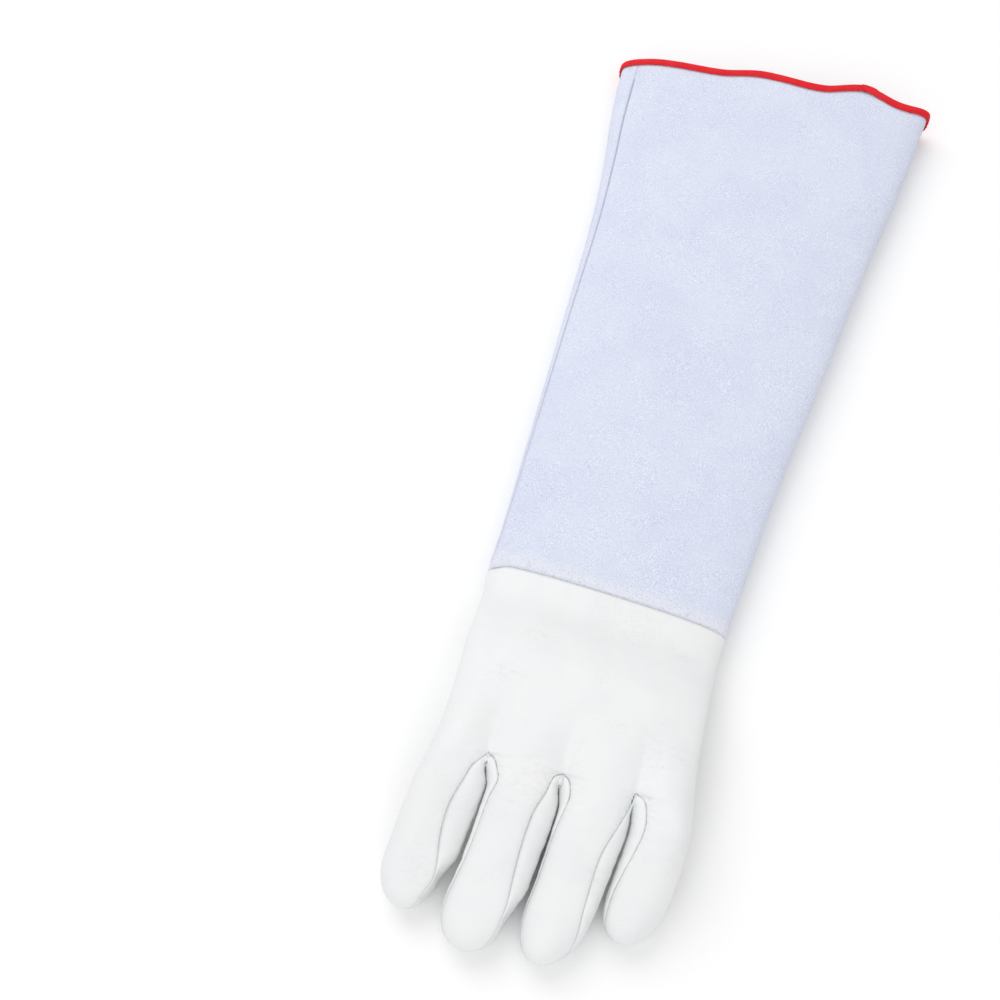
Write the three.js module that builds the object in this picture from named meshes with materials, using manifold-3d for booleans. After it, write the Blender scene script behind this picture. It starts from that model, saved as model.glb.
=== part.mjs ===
// A long protective glove for handling very cold liquids, for the left hand. It lies on its palm
// with the thumb folded flat under it, fingers towards -Y and the cuff's mouth towards +Y.
// The hand is pale grain leather: a back panel, a palm panel, three forks between the fingers and a
// thumb. The cuff is one wrap of suede with a seam on the index side, and a red tape binds its mouth.
import * as THREE from "three";
import { mergeVertices } from "three/addons/utils/BufferGeometryUtils.js";
import Module from "manifold-3d";

const wasm = await Module();
wasm.setup();

// Driving dimensions, in millimetres.
const HAND_LENGTH = 203; // wrist seam to the tip of the longest finger
const WRIST_WIDTH = 139;
const KNUCKLE_WIDTH = 147; // across the four fingers
const KNUCKLE_OFFSET = 7; // the fingers' middle lies this far to the little finger's side
const FINGER_LEAN = 4; // how far the fingertips bend back to the index side
const FINGER_GAP = 1; // air between two fingers at their widest, near the tips
const PALM_THICKNESS = 30;
const FINGER_THICKNESS = 25;
const CROTCH_ROUND = 14; // length of the round end of the cut between two fingers
const THUMB_LENGTH = 104; // back edge of the thumb hole to the thumb's tip
const THUMB_WIDTH = 37;
const THUMB_THICKNESS = 17; // pressed flat between the palm and the table
const CUFF_LENGTH = 398;
const MOUTH_WIDTH = 209;
const MOUTH_THICKNESS = 31;
const LEATHER = 2.2; // wall of the hand's pieces
const SUEDE = 2.4; // wall of the cuff
const BINDING_WIDTH = 6; // how far the tape reaches down each side of the edge
const BINDING = 1.1; // wall of the tape
const SEAM_GAP = 0.3; // clearance where two pieces are sewn together

// Shapes of the sections, without units.
const TOP_ROUNDNESS = 2.6; // exponent of the back's oval
const UNDERSIDE_ROUNDNESS = 4; // exponent of the underside's flatter oval
const UNDERSIDE_FLAT = 0.05; // share by which the underside's oval is cut off flat
const SEAM_HEIGHT = 0.74; // height of a finger's seams, as a share of its half thickness
const CROTCH_HEIGHT = 0.66; // height of the seam at the bottom of the cut, the same way
const TIP_ROUND = 1.4; // length of a fingertip's rounding, as a share of its half width
const WEB_DEPTH = 0.45; // how far the web lies past the end of the cut, as a share of CROTCH_ROUND
const BOW = { full: 0.22, fading: 0.5, gone: 1.1 }; // shares of the way from knuckles to HAND_LENGTH
const FULL_INSET = 0.14; // a seam inset by this share of the finger's width, or more, has SEAM_HEIGHT

// Each finger: width as a share of KNUCKLE_WIDTH and reach as a share of HAND_LENGTH.
const FINGERS = [
  { name: "index", width: 0.234, reach: 0.953 },
  { name: "middle", width: 0.272, reach: 1 },
  { name: "ring", width: 0.264, reach: 0.973 },
  { name: "little", width: 0.23, reach: 0.86 },
];

// The lines between the fingers, with the hand's two sides: the end of each cut as a share of
// HAND_LENGTH, how much of FINGER_LEAN the line bends by, and how far it bows to the little
// finger's side between knuckle and tip, as a share of KNUCKLE_WIDTH.
const CROTCHES = [
  { name: "index side", reach: 0.54, lean: 0.9, bow: 0 },
  { name: "index-middle", reach: 0.54, lean: 1, bow: 0.03 },
  { name: "middle-ring", reach: 0.532, lean: 0.7, bow: 0.021 },
  { name: "ring-little", reach: 0.521, lean: 2, bow: 0.014 },
  { name: "little side", reach: 0.521, lean: 1.8, bow: 0 },
];

// The seams of the forks from the end of the cut (0) to the fingertip (1): how far each lies in from
// its finger's side, as a share of the finger's width. A strip runs out where its inset falls to 0.
const SEAM_INSETS = [
  { along: 0, indexLittle: 0, middleIndex: 0, middleLittle: 0,
    ringIndex: 0, ringLittle: 0, littleIndex: 0 },
  { along: 0.02, indexLittle: 0.05, middleIndex: 0.075, middleLittle: 0.08,
    ringIndex: 0.08, ringLittle: 0.02, littleIndex: 0.1 },
  { along: 0.06, indexLittle: 0.13, middleIndex: 0.115, middleLittle: 0.125,
    ringIndex: 0.12, ringLittle: 0.03, littleIndex: 0.165 },
  { along: 0.12, indexLittle: 0.255, middleIndex: 0.145, middleLittle: 0.175,
    ringIndex: 0.125, ringLittle: 0.07, littleIndex: 0.205 },
  { along: 0.22, indexLittle: 0.345, middleIndex: 0.085, middleLittle: 0.26,
    ringIndex: 0.07, ringLittle: 0.14, littleIndex: 0.225 },
  { along: 0.38, indexLittle: 0.405, middleIndex: 0.065, middleLittle: 0.273,
    ringIndex: 0.03, ringLittle: 0.208, littleIndex: 0.185 },
  { along: 0.55, indexLittle: 0.37, middleIndex: 0.05, middleLittle: 0.245,
    ringIndex: 0.025, ringLittle: 0.185, littleIndex: 0.125 },
  { along: 0.7, indexLittle: 0.255, middleIndex: 0.035, middleLittle: 0.182,
    ringIndex: 0.02, ringLittle: 0.135, littleIndex: 0.085 },
  { along: 0.8, indexLittle: 0.18, middleIndex: 0.02, middleLittle: 0.14,
    ringIndex: 0.01, ringLittle: 0.064, littleIndex: 0.06 },
  { along: 0.9, indexLittle: 0.13, middleIndex: 0, middleLittle: 0.06,
    ringIndex: 0, ringLittle: -0.01, littleIndex: 0.01 },
  { along: 1, indexLittle: -0.02, middleIndex: -0.03, middleLittle: -0.03,
    ringIndex: -0.03, ringLittle: -0.08, littleIndex: -0.04 },
];

// The hand's two sides from the wrist to the tips: 0 is the wrist's edge and 1 the outer finger's.
const HAND_SIDES = [
  { along: 0, index: 0, little: 0 },
  { along: 0.12, index: 1, little: -0.02 },
  { along: 0.25, index: 1.6, little: 0.07 },
  { along: 0.37, index: 2.2, little: 0.27 },
  { along: 0.48, index: 2.5, little: 0.57 },
  { along: 0.53, index: 2.4, little: 0.75 },
  { along: 0.6, index: 1.8, little: 0.95 },
  { along: 0.7, index: 1.3, little: 1.03 },
  { along: 0.8, index: 1, little: 1 },
  { along: 1, index: 1, little: 1 },
];

// The hand from the side: how far its underside is lifted, as a share of what lies under the palm,
// and its thickness on the way from PALM_THICKNESS, at 0, to FINGER_THICKNESS, at 1.
const HAND_PROFILE = [
  { along: 0, lift: 0, thinning: 0.1 },
  { along: 0.09, lift: 0.13, thinning: 0 },
  { along: 0.19, lift: 0.68, thinning: 0 },
  { along: 0.28, lift: 1, thinning: 0 },
  { along: 0.5, lift: 1, thinning: 0.2 },
  { along: 0.66, lift: 1, thinning: 0.85 },
  { along: 1, lift: 1, thinning: 1 },
];

// The cuff from the wrist to the mouth: each side's distance from the middle line and the thickness,
// from the wrist's at 0 to the mouth's at 1.
const CUFF_SECTIONS = [
  { along: 0, index: 0, little: 0, thickness: 0 },
  { along: 0.07, index: 0.02, little: 0.04, thickness: 0.1 },
  { along: 0.25, index: 0.15, little: 0.16, thickness: 0.4 },
  { along: 0.45, index: 0.31, little: 0.38, thickness: 0.6 },
  { along: 0.65, index: 0.48, little: 0.6, thickness: 0.8 },
  { along: 0.78, index: 0.67, little: 0.75, thickness: 0.9 },
  { along: 0.87, index: 0.83, little: 0.86, thickness: 0.95 },
  { along: 1, index: 1, little: 1, thickness: 1 },
];

// The mouth's edge from the index side (-1) to the little finger's side (1): how far it lies beyond
// CUFF_LENGTH, as a share of it.
const MOUTH_EDGE = [
  { along: -1, beyond: -0.026 },
  { along: -0.75, beyond: -0.018 },
  { along: -0.35, beyond: -0.014 },
  { along: -0.1, beyond: 0.003 },
  { along: 0.3, beyond: 0.006 },
  { along: 0.55, beyond: 0.03 },
  { along: 0.8, beyond: 0.019 },
  { along: 1, beyond: 0.031 },
];

// The thumb in its own upright plane: the upper and lower point of each section, along as shares of
// THUMB_LENGTH from the hole's back edge and up as shares of THUMB_THICKNESS, with the width's share.
const THUMB_SECTIONS = [
  { upperAlong: 0.43, upper: 1.42, lowerAlong: 0.02, lower: 1.34, width: 0.86 },
  { upperAlong: 0.43, upper: 1.12, lowerAlong: 0.01, lower: 0.98, width: 0.9 },
  { upperAlong: 0.46, upper: 0.97, lowerAlong: 0.02, lower: 0.5, width: 0.95 },
  { upperAlong: 0.5, upper: 0.95, lowerAlong: 0.08, lower: 0.12, width: 1 },
  { upperAlong: 0.56, upper: 0.94, lowerAlong: 0.25, lower: 0, width: 1 },
  { upperAlong: 0.65, upper: 0.93, lowerAlong: 0.5, lower: 0, width: 0.97 },
  { upperAlong: 0.76, upper: 0.9, lowerAlong: 0.74, lower: 0, width: 0.92 },
  { upperAlong: 0.88, upper: 0.82, lowerAlong: 0.88, lower: 0.03, width: 0.78 },
  { upperAlong: 0.96, upper: 0.68, lowerAlong: 0.96, lower: 0.14, width: 0.48 },
  { upperAlong: 1, upper: 0.45, lowerAlong: 1, lower: 0.37, width: 0.12 },
];
const THUMB_BACK = { x: -0.68, y: 0.2 }; // the hole's back edge: of half WRIST_WIDTH, of HAND_LENGTH
const THUMB_TURN = 20; // degrees that the thumb points in towards the palm's middle
const CUFF_SEAM_ANGLE = { wrist: 8, mouth: 30 }; // degrees of the cuff's seam above its index side

// How finely each surface is divided.
const PALM_ROWS = 8;
const CROTCH_ROWS = 4;
const FINGER_ROWS = 5;
const TIP_ROWS = 4;
const FINGER_COLUMNS = 6;
const FORK_COLUMNS = 4;
const CUFF_ROWS = 12;
const CUFF_COLUMNS = 28;
const THUMB_COLUMNS = 16;

const { lerp, smoothstep, clamp, degToRad } = THREE.MathUtils;
const APEX_ROW = PALM_ROWS;
const STRAIGHT_ROW = APEX_ROW + CROTCH_ROWS;
const ROUND_ROW = STRAIGHT_ROW + FINGER_ROWS;
const TIP_ROW = ROUND_ROW + TIP_ROWS;
const UNDER_PALM = THUMB_THICKNESS + SEAM_GAP;
const BINDING_START = 1 - BINDING_WIDTH / CUFF_LENGTH;

// A column of a table at a share along it, on a smooth curve through the rows.
function track(rows, column, along) {
  const last = rows.length - 1;
  const k = clamp(rows.findIndex((row) => row.along > along) - 1, 0, last - 1);
  const i = along >= rows[last].along ? last - 1 : k;
  const [a, b] = [rows[i], rows[i + 1]];
  const slope = (p, q) => (rows[q][column] - rows[p][column]) / (rows[q].along - rows[p].along);
  const span = b.along - a.along;
  const t = clamp((along - a.along) / span, 0, 1);
  const [t2, t3] = [t * t, t * t * t];
  const start = slope(Math.max(i - 1, 0), i + 1) * span;
  const end = slope(i, Math.min(i + 2, last)) * span;
  return (
    (2 * t3 - 3 * t2 + 1) * a[column] + (t3 - 2 * t2 + t) * start +
    (3 * t2 - 2 * t3) * b[column] + (t3 - t2) * end
  );
}

// Height of a flattened oval at a share of its half width, as a share of its half thickness.
const oval = (share, exponent) => (1 - Math.min(1, Math.abs(share)) ** exponent) ** (1 / exponent);
const undersideOval = (share) =>
  Math.min(1, (1 + UNDERSIDE_FLAT) * oval(share, UNDERSIDE_ROUNDNESS));

// The fingers lie side by side from the index finger's outer side.
const knuckleStart = KNUCKLE_OFFSET - KNUCKLE_WIDTH / 2;
const shareSum = FINGERS.reduce((sum, finger) => sum + finger.width, 0);
const fingers = FINGERS.map((finger, index) => {
  const width = (finger.width * KNUCKLE_WIDTH) / shareSum;
  return { ...finger, index, width, tip: finger.reach * HAND_LENGTH, round: (TIP_ROUND * width) / 2 };
});
const knuckleLine = Math.min(...CROTCHES.map((crotch) => crotch.reach)) * HAND_LENGTH;

// The line between two fingers, or an outer finger's free side, at a distance from the wrist.
function fingerLine(line, reach) {
  const knuckle = fingers.slice(0, line).reduce((x, finger) => x + finger.width, knuckleStart);
  const bent = Math.max(0, reach - knuckleLine) / (HAND_LENGTH - knuckleLine);
  const bowed = smoothstep(bent, 0, BOW.full) * (1 - smoothstep(bent, BOW.fading, BOW.gone));
  const { lean, bow } = CROTCHES[line];
  return knuckle - lean * FINGER_LEAN * bent ** 1.5 + bow * KNUCKLE_WIDTH * bowed;
}
const fingerMiddle = (index, reach) =>
  (fingerLine(index, reach) + fingerLine(index + 1, reach)) / 2;

// The hand's thickness and its middle height, at a distance from the wrist and for one finger.
function bulk(reach, finger) {
  const along = reach / HAND_LENGTH;
  const thin = clamp(track(HAND_PROFILE, "thinning", along), 0, 1);
  const half = lerp(PALM_THICKNESS, FINGER_THICKNESS, thin) / 2;
  const raised = clamp(track(HAND_PROFILE, "lift", along), 0, 1) * UNDER_PALM;
  const bent = (reach - knuckleLine) / (finger.tip - knuckleLine);
  const lift = raised * (1 - smoothstep(bent, 0.12, 0.86));
  return { half, middle: lift + half };
}

// Where the hand's outline runs, on the index (-1) or the little finger's (1) side.
function handSide(side, reach) {
  const share = track(HAND_SIDES, side < 0 ? "index" : "little", reach / HAND_LENGTH);
  return lerp((side * WRIST_WIDTH) / 2, fingerLine(side < 0 ? 0 : fingers.length, reach), share);
}

// One side of one finger's strip at a row: the plan position of the back's and palm's edge there,
// the side wall's furthest point, the seam's height above the middle, and the way into the panel.
function edge(index, side, row) {
  const finger = fingers[index];
  const line = side < 0 ? index : index + 1;
  const apex = CROTCHES[line].reach * HAND_LENGTH;
  const outer = line === 0 || line === fingers.length;
  if (row <= APEX_ROW) {
    const reach = (apex * row) / APEX_ROW;
    const knuckle = fingerLine(line, reach);
    const wrist = ((knuckle - knuckleStart) / KNUCKLE_WIDTH - 0.5) * WRIST_WIDTH;
    return {
      x: outer ? handSide(side, reach) : lerp(wrist, knuckle, (row / APEX_ROW) ** 1.3),
      reach,
      wall: { x: knuckle, reach: apex + WEB_DEPTH * CROTCH_ROUND },
      into: outer ? [-side, 0] : [0, row === APEX_ROW ? 1 : 0],
      height: outer ? 0 : CROTCH_HEIGHT,
      outer,
      cap: 1,
    };
  }
  const turn = (Math.min(row - APEX_ROW, CROTCH_ROWS) / CROTCH_ROWS) * (Math.PI / 2);
  const taper = (Math.max(0, row - ROUND_ROW) / TIP_ROWS) * (Math.PI / 2);
  const straight = clamp((row - STRAIGHT_ROW) / FINGER_ROWS, 0, 1);
  const turned = apex + CROTCH_ROUND * (outer ? turn / (Math.PI / 2) : 1 - Math.cos(turn));
  const reach = lerp(turned, finger.tip - finger.round, straight) + finger.round * Math.sin(taper);
  const middle = fingerMiddle(index, reach);
  const free = outer ? handSide(side, reach) : fingerLine(line, reach);
  const air = outer ? 0 : (FINGER_GAP / 2) * Math.sin(turn);
  const full = side * (free - middle) - air;
  const half = full * Math.cos(taper);
  const column = finger.name + (side < 0 ? "Index" : "Little");
  const along = clamp((reach - apex) / (finger.tip - apex), 0, 1);
  const inset = outer ? 0 : Math.max(0, track(SEAM_INSETS, column, along));
  const seam = Math.max(0, half - inset * finger.width);
  const open = lerp(1, clamp(inset / FULL_INSET, 0, 1), Math.sin(turn));
  const share = lerp(CROTCH_HEIGHT, SEAM_HEIGHT, Math.sin(turn));
  const web = WEB_DEPTH + (1 - WEB_DEPTH) * (1 - Math.cos(turn));
  return {
    x: middle + side * seam,
    reach,
    wall: {
      x: middle + side * half,
      reach: row < STRAIGHT_ROW ? apex + CROTCH_ROUND * web : reach,
    },
    into: outer ? [-side, 0] : [-side * Math.sin(turn), Math.cos(turn)],
    height: outer ? 0 : share * Math.sqrt(open),
    outer,
    cap: Math.cos(taper) ** 0.8,
  };
}

// A point on the hand's back (up = 1) or palm (up = -1): the strip of one finger, a row and a share
// across it. wall is 0 on the outside, and the leather's thickness on the inside.
function handPoint(index, row, across, up, wall) {
  const sides = [edge(index, -1, row), edge(index, 1, row)];
  const q = -Math.cos(across * Math.PI);
  const u = (1 + q) / 2;
  const tipping = row > ROUND_ROW ? Math.sin(((row - ROUND_ROW) / TIP_ROWS) * (Math.PI / 2)) : 0;
  const span = (sides[1].x - sides[0].x) / 2;
  const [a, b] = sides.map((side) => ({
    ...side,
    x: side.x + side.into[0] * Math.min(wall, span),
    reach: side.reach - side.into[1] * wall - wall * tipping,
  }));
  const x = lerp(a.x, b.x, u);
  const reach = lerp(a.reach, b.reach, u);
  const { half, middle } = bulk(reach, fingers[index]);
  const rise = half * a.cap;
  const thin = Math.min(wall, rise * 0.45);

  const sunk = (side) => (row < APEX_ROW && !side.outer ? thin : 0);
  const low = lerp(a.height, b.height, u) * rise - lerp(sunk(a), sunk(b), u);
  const soft = up > 0 ? lerp(1, 0.5, smoothstep(row, APEX_ROW - 1, STRAIGHT_ROW)) : 0.36;
  const free = (a.outer && q < 0) || (b.outer && q > 0);
  const onStrip = low + (rise - thin - low) * (1 - q * q) ** (free ? 0.5 : soft);

  const [left, right] = [handSide(-1, reach), handSide(1, reach)];
  const share = (x - (left + right) / 2) / ((right - left) / 2 - wall);
  const onHand = (half - wall) * (up > 0 ? oval(share, TOP_ROUNDNESS) : undersideOval(share));
  const parted = row >= APEX_ROW ? 1 : smoothstep(row / APEX_ROW, 0.62, 1);
  const height = lerp(onHand, onStrip, parted) * (1 - SEAM_GAP / 2 / half);
  return new THREE.Vector3(
    x, -Math.max(reach, SEAM_GAP / 2), middle + up * (SEAM_GAP / 2 + height),
  );
}

// A closed shell from an outer and an inner sheet of points with the same quads.
function shell(outer, inner, quads) {
  const first = new Map();
  const key = (p) => p.toArray().map((c) => Math.round(c * 1e3)).join();
  const weld = outer.map((p, i) => {
    if (!first.has(key(p))) first.set(key(p), i);
    return first.get(key(p));
  });
  const faces = [];
  for (const [a, b, c, d] of quads)
    for (const face of [[a, b, c], [a, c, d]]) {
      const [p, q, r] = face.map((i) => weld[i]);
      if (p !== q && q !== r && r !== p) faces.push([p, q, r]);
    }
  const sides = new Set(faces.flatMap(([p, q, r]) => [`${p},${q}`, `${q},${r}`, `${r},${p}`]));
  const count = outer.length;
  const closed = [];
  for (const [p, q, r] of faces) {
    closed.push(p, q, r, r + count, q + count, p + count);
    for (const [s, e] of [[p, q], [q, r], [r, p]])
      if (!sides.has(`${e},${s}`)) closed.push(e, s, s + count, e, s + count, e + count);
  }
  return solidGeometry([...outer, ...inner], closed);
}

// An indexed geometry with equal points merged and collapsed faces dropped.
function solidGeometry(points, indices) {
  const raw = new THREE.BufferGeometry().setFromPoints(points).setIndex(indices);
  const merged = mergeVertices(raw, 1e-4);
  const kept = [];
  for (let i = 0; i < merged.index.count; i += 3) {
    const [a, b, c] = [0, 1, 2].map((k) => merged.index.getX(i + k));
    if (a !== b && b !== c && c !== a) kept.push(a, b, c);
  }
  return merged.setIndex(kept);
}

// The quads of a grid of rows by columns whose points start at an index, facing out or turned round.
function gridQuads(rows, columns, start, turned) {
  const quads = [];
  for (let r = 0; r < rows; r++)
    for (let c = 0; c < columns; c++) {
      const a = start + r * (columns + 1) + c;
      const quad = [a, a + columns + 1, a + columns + 2, a + 1];
      quads.push(turned ? quad.reverse() : quad);
    }
  return quads;
}

// The back of the hand (up = 1) or its palm (up = -1): four finger strips joined along the hand.
function handPanel(up) {
  const [outer, inner, quads] = [[], [], []];
  fingers.forEach((_, index) => {
    quads.push(...gridQuads(TIP_ROW, FINGER_COLUMNS, outer.length, up < 0));
    for (let row = 0; row <= TIP_ROW; row++)
      for (let c = 0; c <= FINGER_COLUMNS; c++) {
        outer.push(handPoint(index, row, c / FINGER_COLUMNS, up, 0));
        inner.push(handPoint(index, row, c / FINGER_COLUMNS, up, LEATHER));
      }
  });
  return shell(outer, inner, quads);
}

// The strip between two fingers: down one finger's side from its tip, round the web and out along
// the next finger's side. Both ends run out to a point where the back meets the palm.
function fork(gap) {
  const stations = [];
  const add = (index, side, row) => {
    const at = edge(index, side, row);
    const { half, middle } = bulk(at.reach, fingers[index]);
    stations.push({ at, middle, height: at.height * half * at.cap });
    return at.height > 0;
  };
  let row = APEX_ROW;
  while (add(gap - 1, 1, row)) row++;
  stations.reverse();
  row = APEX_ROW + 1;
  while (add(gap, -1, row)) row++;
  const [outer, inner] = [[], []];
  for (const { at, middle, height } of stations) {
    const seam = new THREE.Vector2(at.x, at.reach);
    const bulge = new THREE.Vector2(at.wall.x, at.wall.reach).sub(seam);
    const clear = Math.max(0, height - SEAM_GAP / 2);
    const wall = Math.min(LEATHER, 0.5 * bulge.length(), 0.5 * clear);
    for (let c = 0; c <= FORK_COLUMNS; c++) {
      const angle = (c / FORK_COLUMNS - 0.5) * Math.PI;
      const point = (depth, tall) => {
        const p = seam.clone().addScaledVector(bulge, depth * Math.cos(angle));
        return new THREE.Vector3(p.x, -p.y, middle + tall * Math.sin(angle));
      };
      outer.push(point(1, clear));
      inner.push(point(bulge.length() > 0 ? 1 - wall / bulge.length() : 1, clear - wall));
    }
  }
  return shell(outer, inner, gridQuads(stations.length - 1, FORK_COLUMNS, 0, false));
}

// A closed body through rings of points, with a flat first end and last end.
function loft(rings) {
  const count = rings[0].length;
  const points = rings.flat();
  const indices = [];
  for (let r = 0; r + 1 < rings.length; r++)
    for (let c = 0; c < count; c++) {
      const [a, b] = [r * count + c, r * count + ((c + 1) % count)];
      indices.push(a, b, b + count, a, b + count, a + count);
    }
  for (const [ring, turned] of [[0, true], [rings.length - 1, false]]) {
    const centre = points.push(
      rings[ring].reduce((sum, p) => sum.add(p), new THREE.Vector3()).divideScalar(count),
    ) - 1;
    for (let c = 0; c < count; c++) {
      const [a, b] = [ring * count + c, ring * count + ((c + 1) % count)];
      indices.push(...(turned ? [centre, b, a] : [centre, a, b]));
    }
  }
  return solidGeometry(points, indices);
}

// The thumb's rings, grown by an amount all round; a negative amount gives its hollow.
function thumbRings(grown, extraBase) {
  const turn = degToRad(THUMB_TURN);
  const forward = new THREE.Vector3(Math.sin(turn), -Math.cos(turn), 0);
  const across = new THREE.Vector3(Math.cos(turn), Math.sin(turn), 0);
  const start = new THREE.Vector3(
    (THUMB_BACK.x * WRIST_WIDTH) / 2, -THUMB_BACK.y * HAND_LENGTH, 0,
  );
  return THUMB_SECTIONS.map((section, k) => {
    const at = (along, up) =>
      start.clone().addScaledVector(forward, along * THUMB_LENGTH).setZ(up * THUMB_THICKNESS);
    const upper = at(section.upperAlong, section.upper);
    const lower = at(section.lowerAlong, section.lower);
    if (k === 0) [upper, lower].forEach((p) => (p.z += extraBase));
    const centre = upper.clone().add(lower).divideScalar(2);
    const tall = upper.clone().sub(lower).divideScalar(2);
    const halfTall = Math.max(SEAM_GAP, tall.length() + grown);
    const halfWide = Math.max(SEAM_GAP, (section.width * THUMB_WIDTH) / 2 + grown);
    tall.normalize();
    if (k === THUMB_SECTIONS.length - 1) centre.addScaledVector(forward, grown);
    return Array.from({ length: THUMB_COLUMNS }, (_, c) => {
      const angle = (2 * Math.PI * c) / THUMB_COLUMNS;
      const [cos, sin] = [Math.cos(angle), Math.sin(angle)];
      return centre.clone()
        .addScaledVector(across, halfWide * Math.sign(cos) * Math.abs(cos) ** 0.8)
        .addScaledVector(tall, halfTall * Math.sign(sin) * Math.abs(sin) ** 0.8);
    });
  });
}

// A manifold-3d solid from a closed geometry, and a geometry from a solid.
function toSolid(geometry) {
  return new wasm.Manifold(new wasm.Mesh({
    numProp: 3,
    vertProperties: geometry.getAttribute("position").array,
    triVerts: new Uint32Array(geometry.index.array),
  }));
}
function toGeometry(solid) {
  const { numProp, vertProperties, triVerts } = solid.getMesh();
  const points = [];
  for (let i = 0; i < vertProperties.length; i += numProp)
    points.push(new THREE.Vector3().fromArray(vertProperties, i));
  return solidGeometry(points, [...triVerts]);
}

// The cuff's outer outline at a share from the wrist to the mouth, as points round it that start at
// the seam and end there again.
function cuffOutline(along) {
  const [index, little] = ["index", "little"].map(
    (side) => lerp(WRIST_WIDTH, MOUTH_WIDTH, track(CUFF_SECTIONS, side, along)) / 2,
  );
  const wristHalf = bulk(0, fingers[0]).half;
  const rise = lerp(wristHalf, MOUTH_THICKNESS / 2, track(CUFF_SECTIONS, "thickness", along));
  const lift = (BINDING + 2 * SEAM_GAP) * smoothstep(along, 0.92, 1);
  const seamAngle = degToRad(lerp(CUFF_SEAM_ANGLE.wrist, CUFF_SEAM_ANGLE.mouth, along));
  return Array.from({ length: CUFF_COLUMNS + 1 }, (_, c) => {
    const angle = seamAngle + (2 * Math.PI * c) / CUFF_COLUMNS;
    const [cos, sin] = [Math.cos(angle), Math.sin(angle)];
    const exponent = sin >= 0 ? TOP_ROUNDNESS : UNDERSIDE_ROUNDNESS;
    const x = -Math.sign(cos) * Math.abs(cos) ** (2 / exponent);
    const height = sin >= 0 ? Math.abs(sin) ** (2 / exponent) : -undersideOval(x);
    return new THREE.Vector2((x < 0 ? index : little) * x, lift + rise * (1 + height));
  });
}

// An outline moved sideways by a distance, out of the tube if positive, with its corners mitred.
function moved(outline, distance) {
  const loop = outline.slice(0, -1);
  const shifted = loop.map((p, i) => {
    const before = loop.at(i - 1);
    const after = loop[(i + 1) % loop.length];
    const [n, m] = [p.clone().sub(before), after.clone().sub(p)].map(
      (side) => new THREE.Vector2(-side.y, side.x).normalize(),
    );
    const mitre = n.clone().add(m).normalize();
    return p.clone().addScaledVector(mitre, distance / Math.max(0.5, mitre.dot(n)));
  });
  return [...shifted, shifted[0].clone()];
}

// How far along Y a row of the cuff lies at a place across it: the mouth's edge slants and waves.
function cuffStation(along, across) {
  const beyond = CUFF_LENGTH * track(MOUTH_EDGE, "beyond", across);
  return lerp(SEAM_GAP / 2, CUFF_LENGTH, along) + beyond * along ** 3;
}

// The suede wrap, open by a seam's width along its seam.
function cuff() {
  const [outer, inner] = [[], []];
  for (let row = 0; row <= CUFF_ROWS; row++) {
    const along = row < CUFF_ROWS ? (BINDING_START * row) / (CUFF_ROWS - 1) : 1;
    const outline = cuffOutline(along);
    const half = Math.max(...outline.map((p) => p.x));
    const layers = [[outer, outline], [inner, moved(outline, -SUEDE)]];
    for (const [points, layer] of layers)
      layer.forEach((p, c) => {
        const next = c === 0 ? layer[1] : layer.at(-2);
        const pulled = p.clone();
        if (c === 0 || c === CUFF_COLUMNS)
          pulled.addScaledVector(next.clone().sub(p).normalize(), SEAM_GAP / 2);
        points.push(new THREE.Vector3(pulled.x, cuffStation(along, pulled.x / half), pulled.y));
      });
  }
  return shell(outer, inner, gridQuads(CUFF_ROWS, CUFF_COLUMNS, 0, true));
}

// The tape folded over the mouth's edge, a channel swept round it.
function binding() {
  const outside = SEAM_GAP + BINDING;
  const inside = -SUEDE - SEAM_GAP - BINDING;
  const profile = [
    [outside, BINDING_START, 0], [outside, 1, 0], [0, 1, outside], [-SUEDE, 1, outside],
    [inside, 1, 0], [inside, BINDING_START, 0], [inside + BINDING, BINDING_START, 0],
    [inside + BINDING, 1, SEAM_GAP], [SEAM_GAP, 1, SEAM_GAP], [SEAM_GAP, BINDING_START, 0],
  ];
  const layers = profile.map(([distance, along, reach]) => {
    const outline = cuffOutline(along);
    const half = Math.max(...outline.map((p) => p.x));
    return moved(outline, distance).slice(0, -1).map(
      (p) => new THREE.Vector3(p.x, cuffStation(along, p.x / half) + reach, p.y),
    );
  });
  const count = CUFF_COLUMNS;
  const indices = [];
  layers.forEach((_, l) => {
    const next = (l + 1) % layers.length;
    for (let c = 0; c < count; c++) {
      const [a, b] = [l * count + c, l * count + ((c + 1) % count)];
      const [d, e] = [next * count + c, next * count + ((c + 1) % count)];
      indices.push(a, b, e, a, e, d);
    }
  });
  return solidGeometry(layers.flat(), indices);
}

const leather = new THREE.MeshStandardMaterial({ color: 0xeef0ef, roughness: 0.55 });
const suede = new THREE.MeshStandardMaterial({ color: 0xd5dcf2, roughness: 0.95 });
const tape = new THREE.MeshStandardMaterial({ color: 0xf03a4c, roughness: 0.7 });

const thumbOuter = toSolid(loft(thumbRings(0, 0)));
const thumbHollow = toSolid(loft(thumbRings(-LEATHER, LEATHER)));
const thumbPassage = toSolid(loft(thumbRings(SEAM_GAP, LEATHER)));

const glove = new THREE.Group();
const addPiece = (name, geometry, material) => {
  const mesh = new THREE.Mesh(geometry, material);
  mesh.name = name;
  glove.add(mesh);
};
addPiece("back_panel", handPanel(1), leather);
addPiece("palm_panel", toGeometry(toSolid(handPanel(-1)).subtract(thumbPassage)), leather);
for (let gap = 1; gap < fingers.length; gap++)
  addPiece(`fork_${fingers[gap - 1].name}_${fingers[gap].name}`, fork(gap), leather);
addPiece("thumb", toGeometry(thumbOuter.subtract(thumbHollow)), leather);
addPiece("cuff", cuff(), suede);
addPiece("cuff_binding", binding(), tape);

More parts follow.
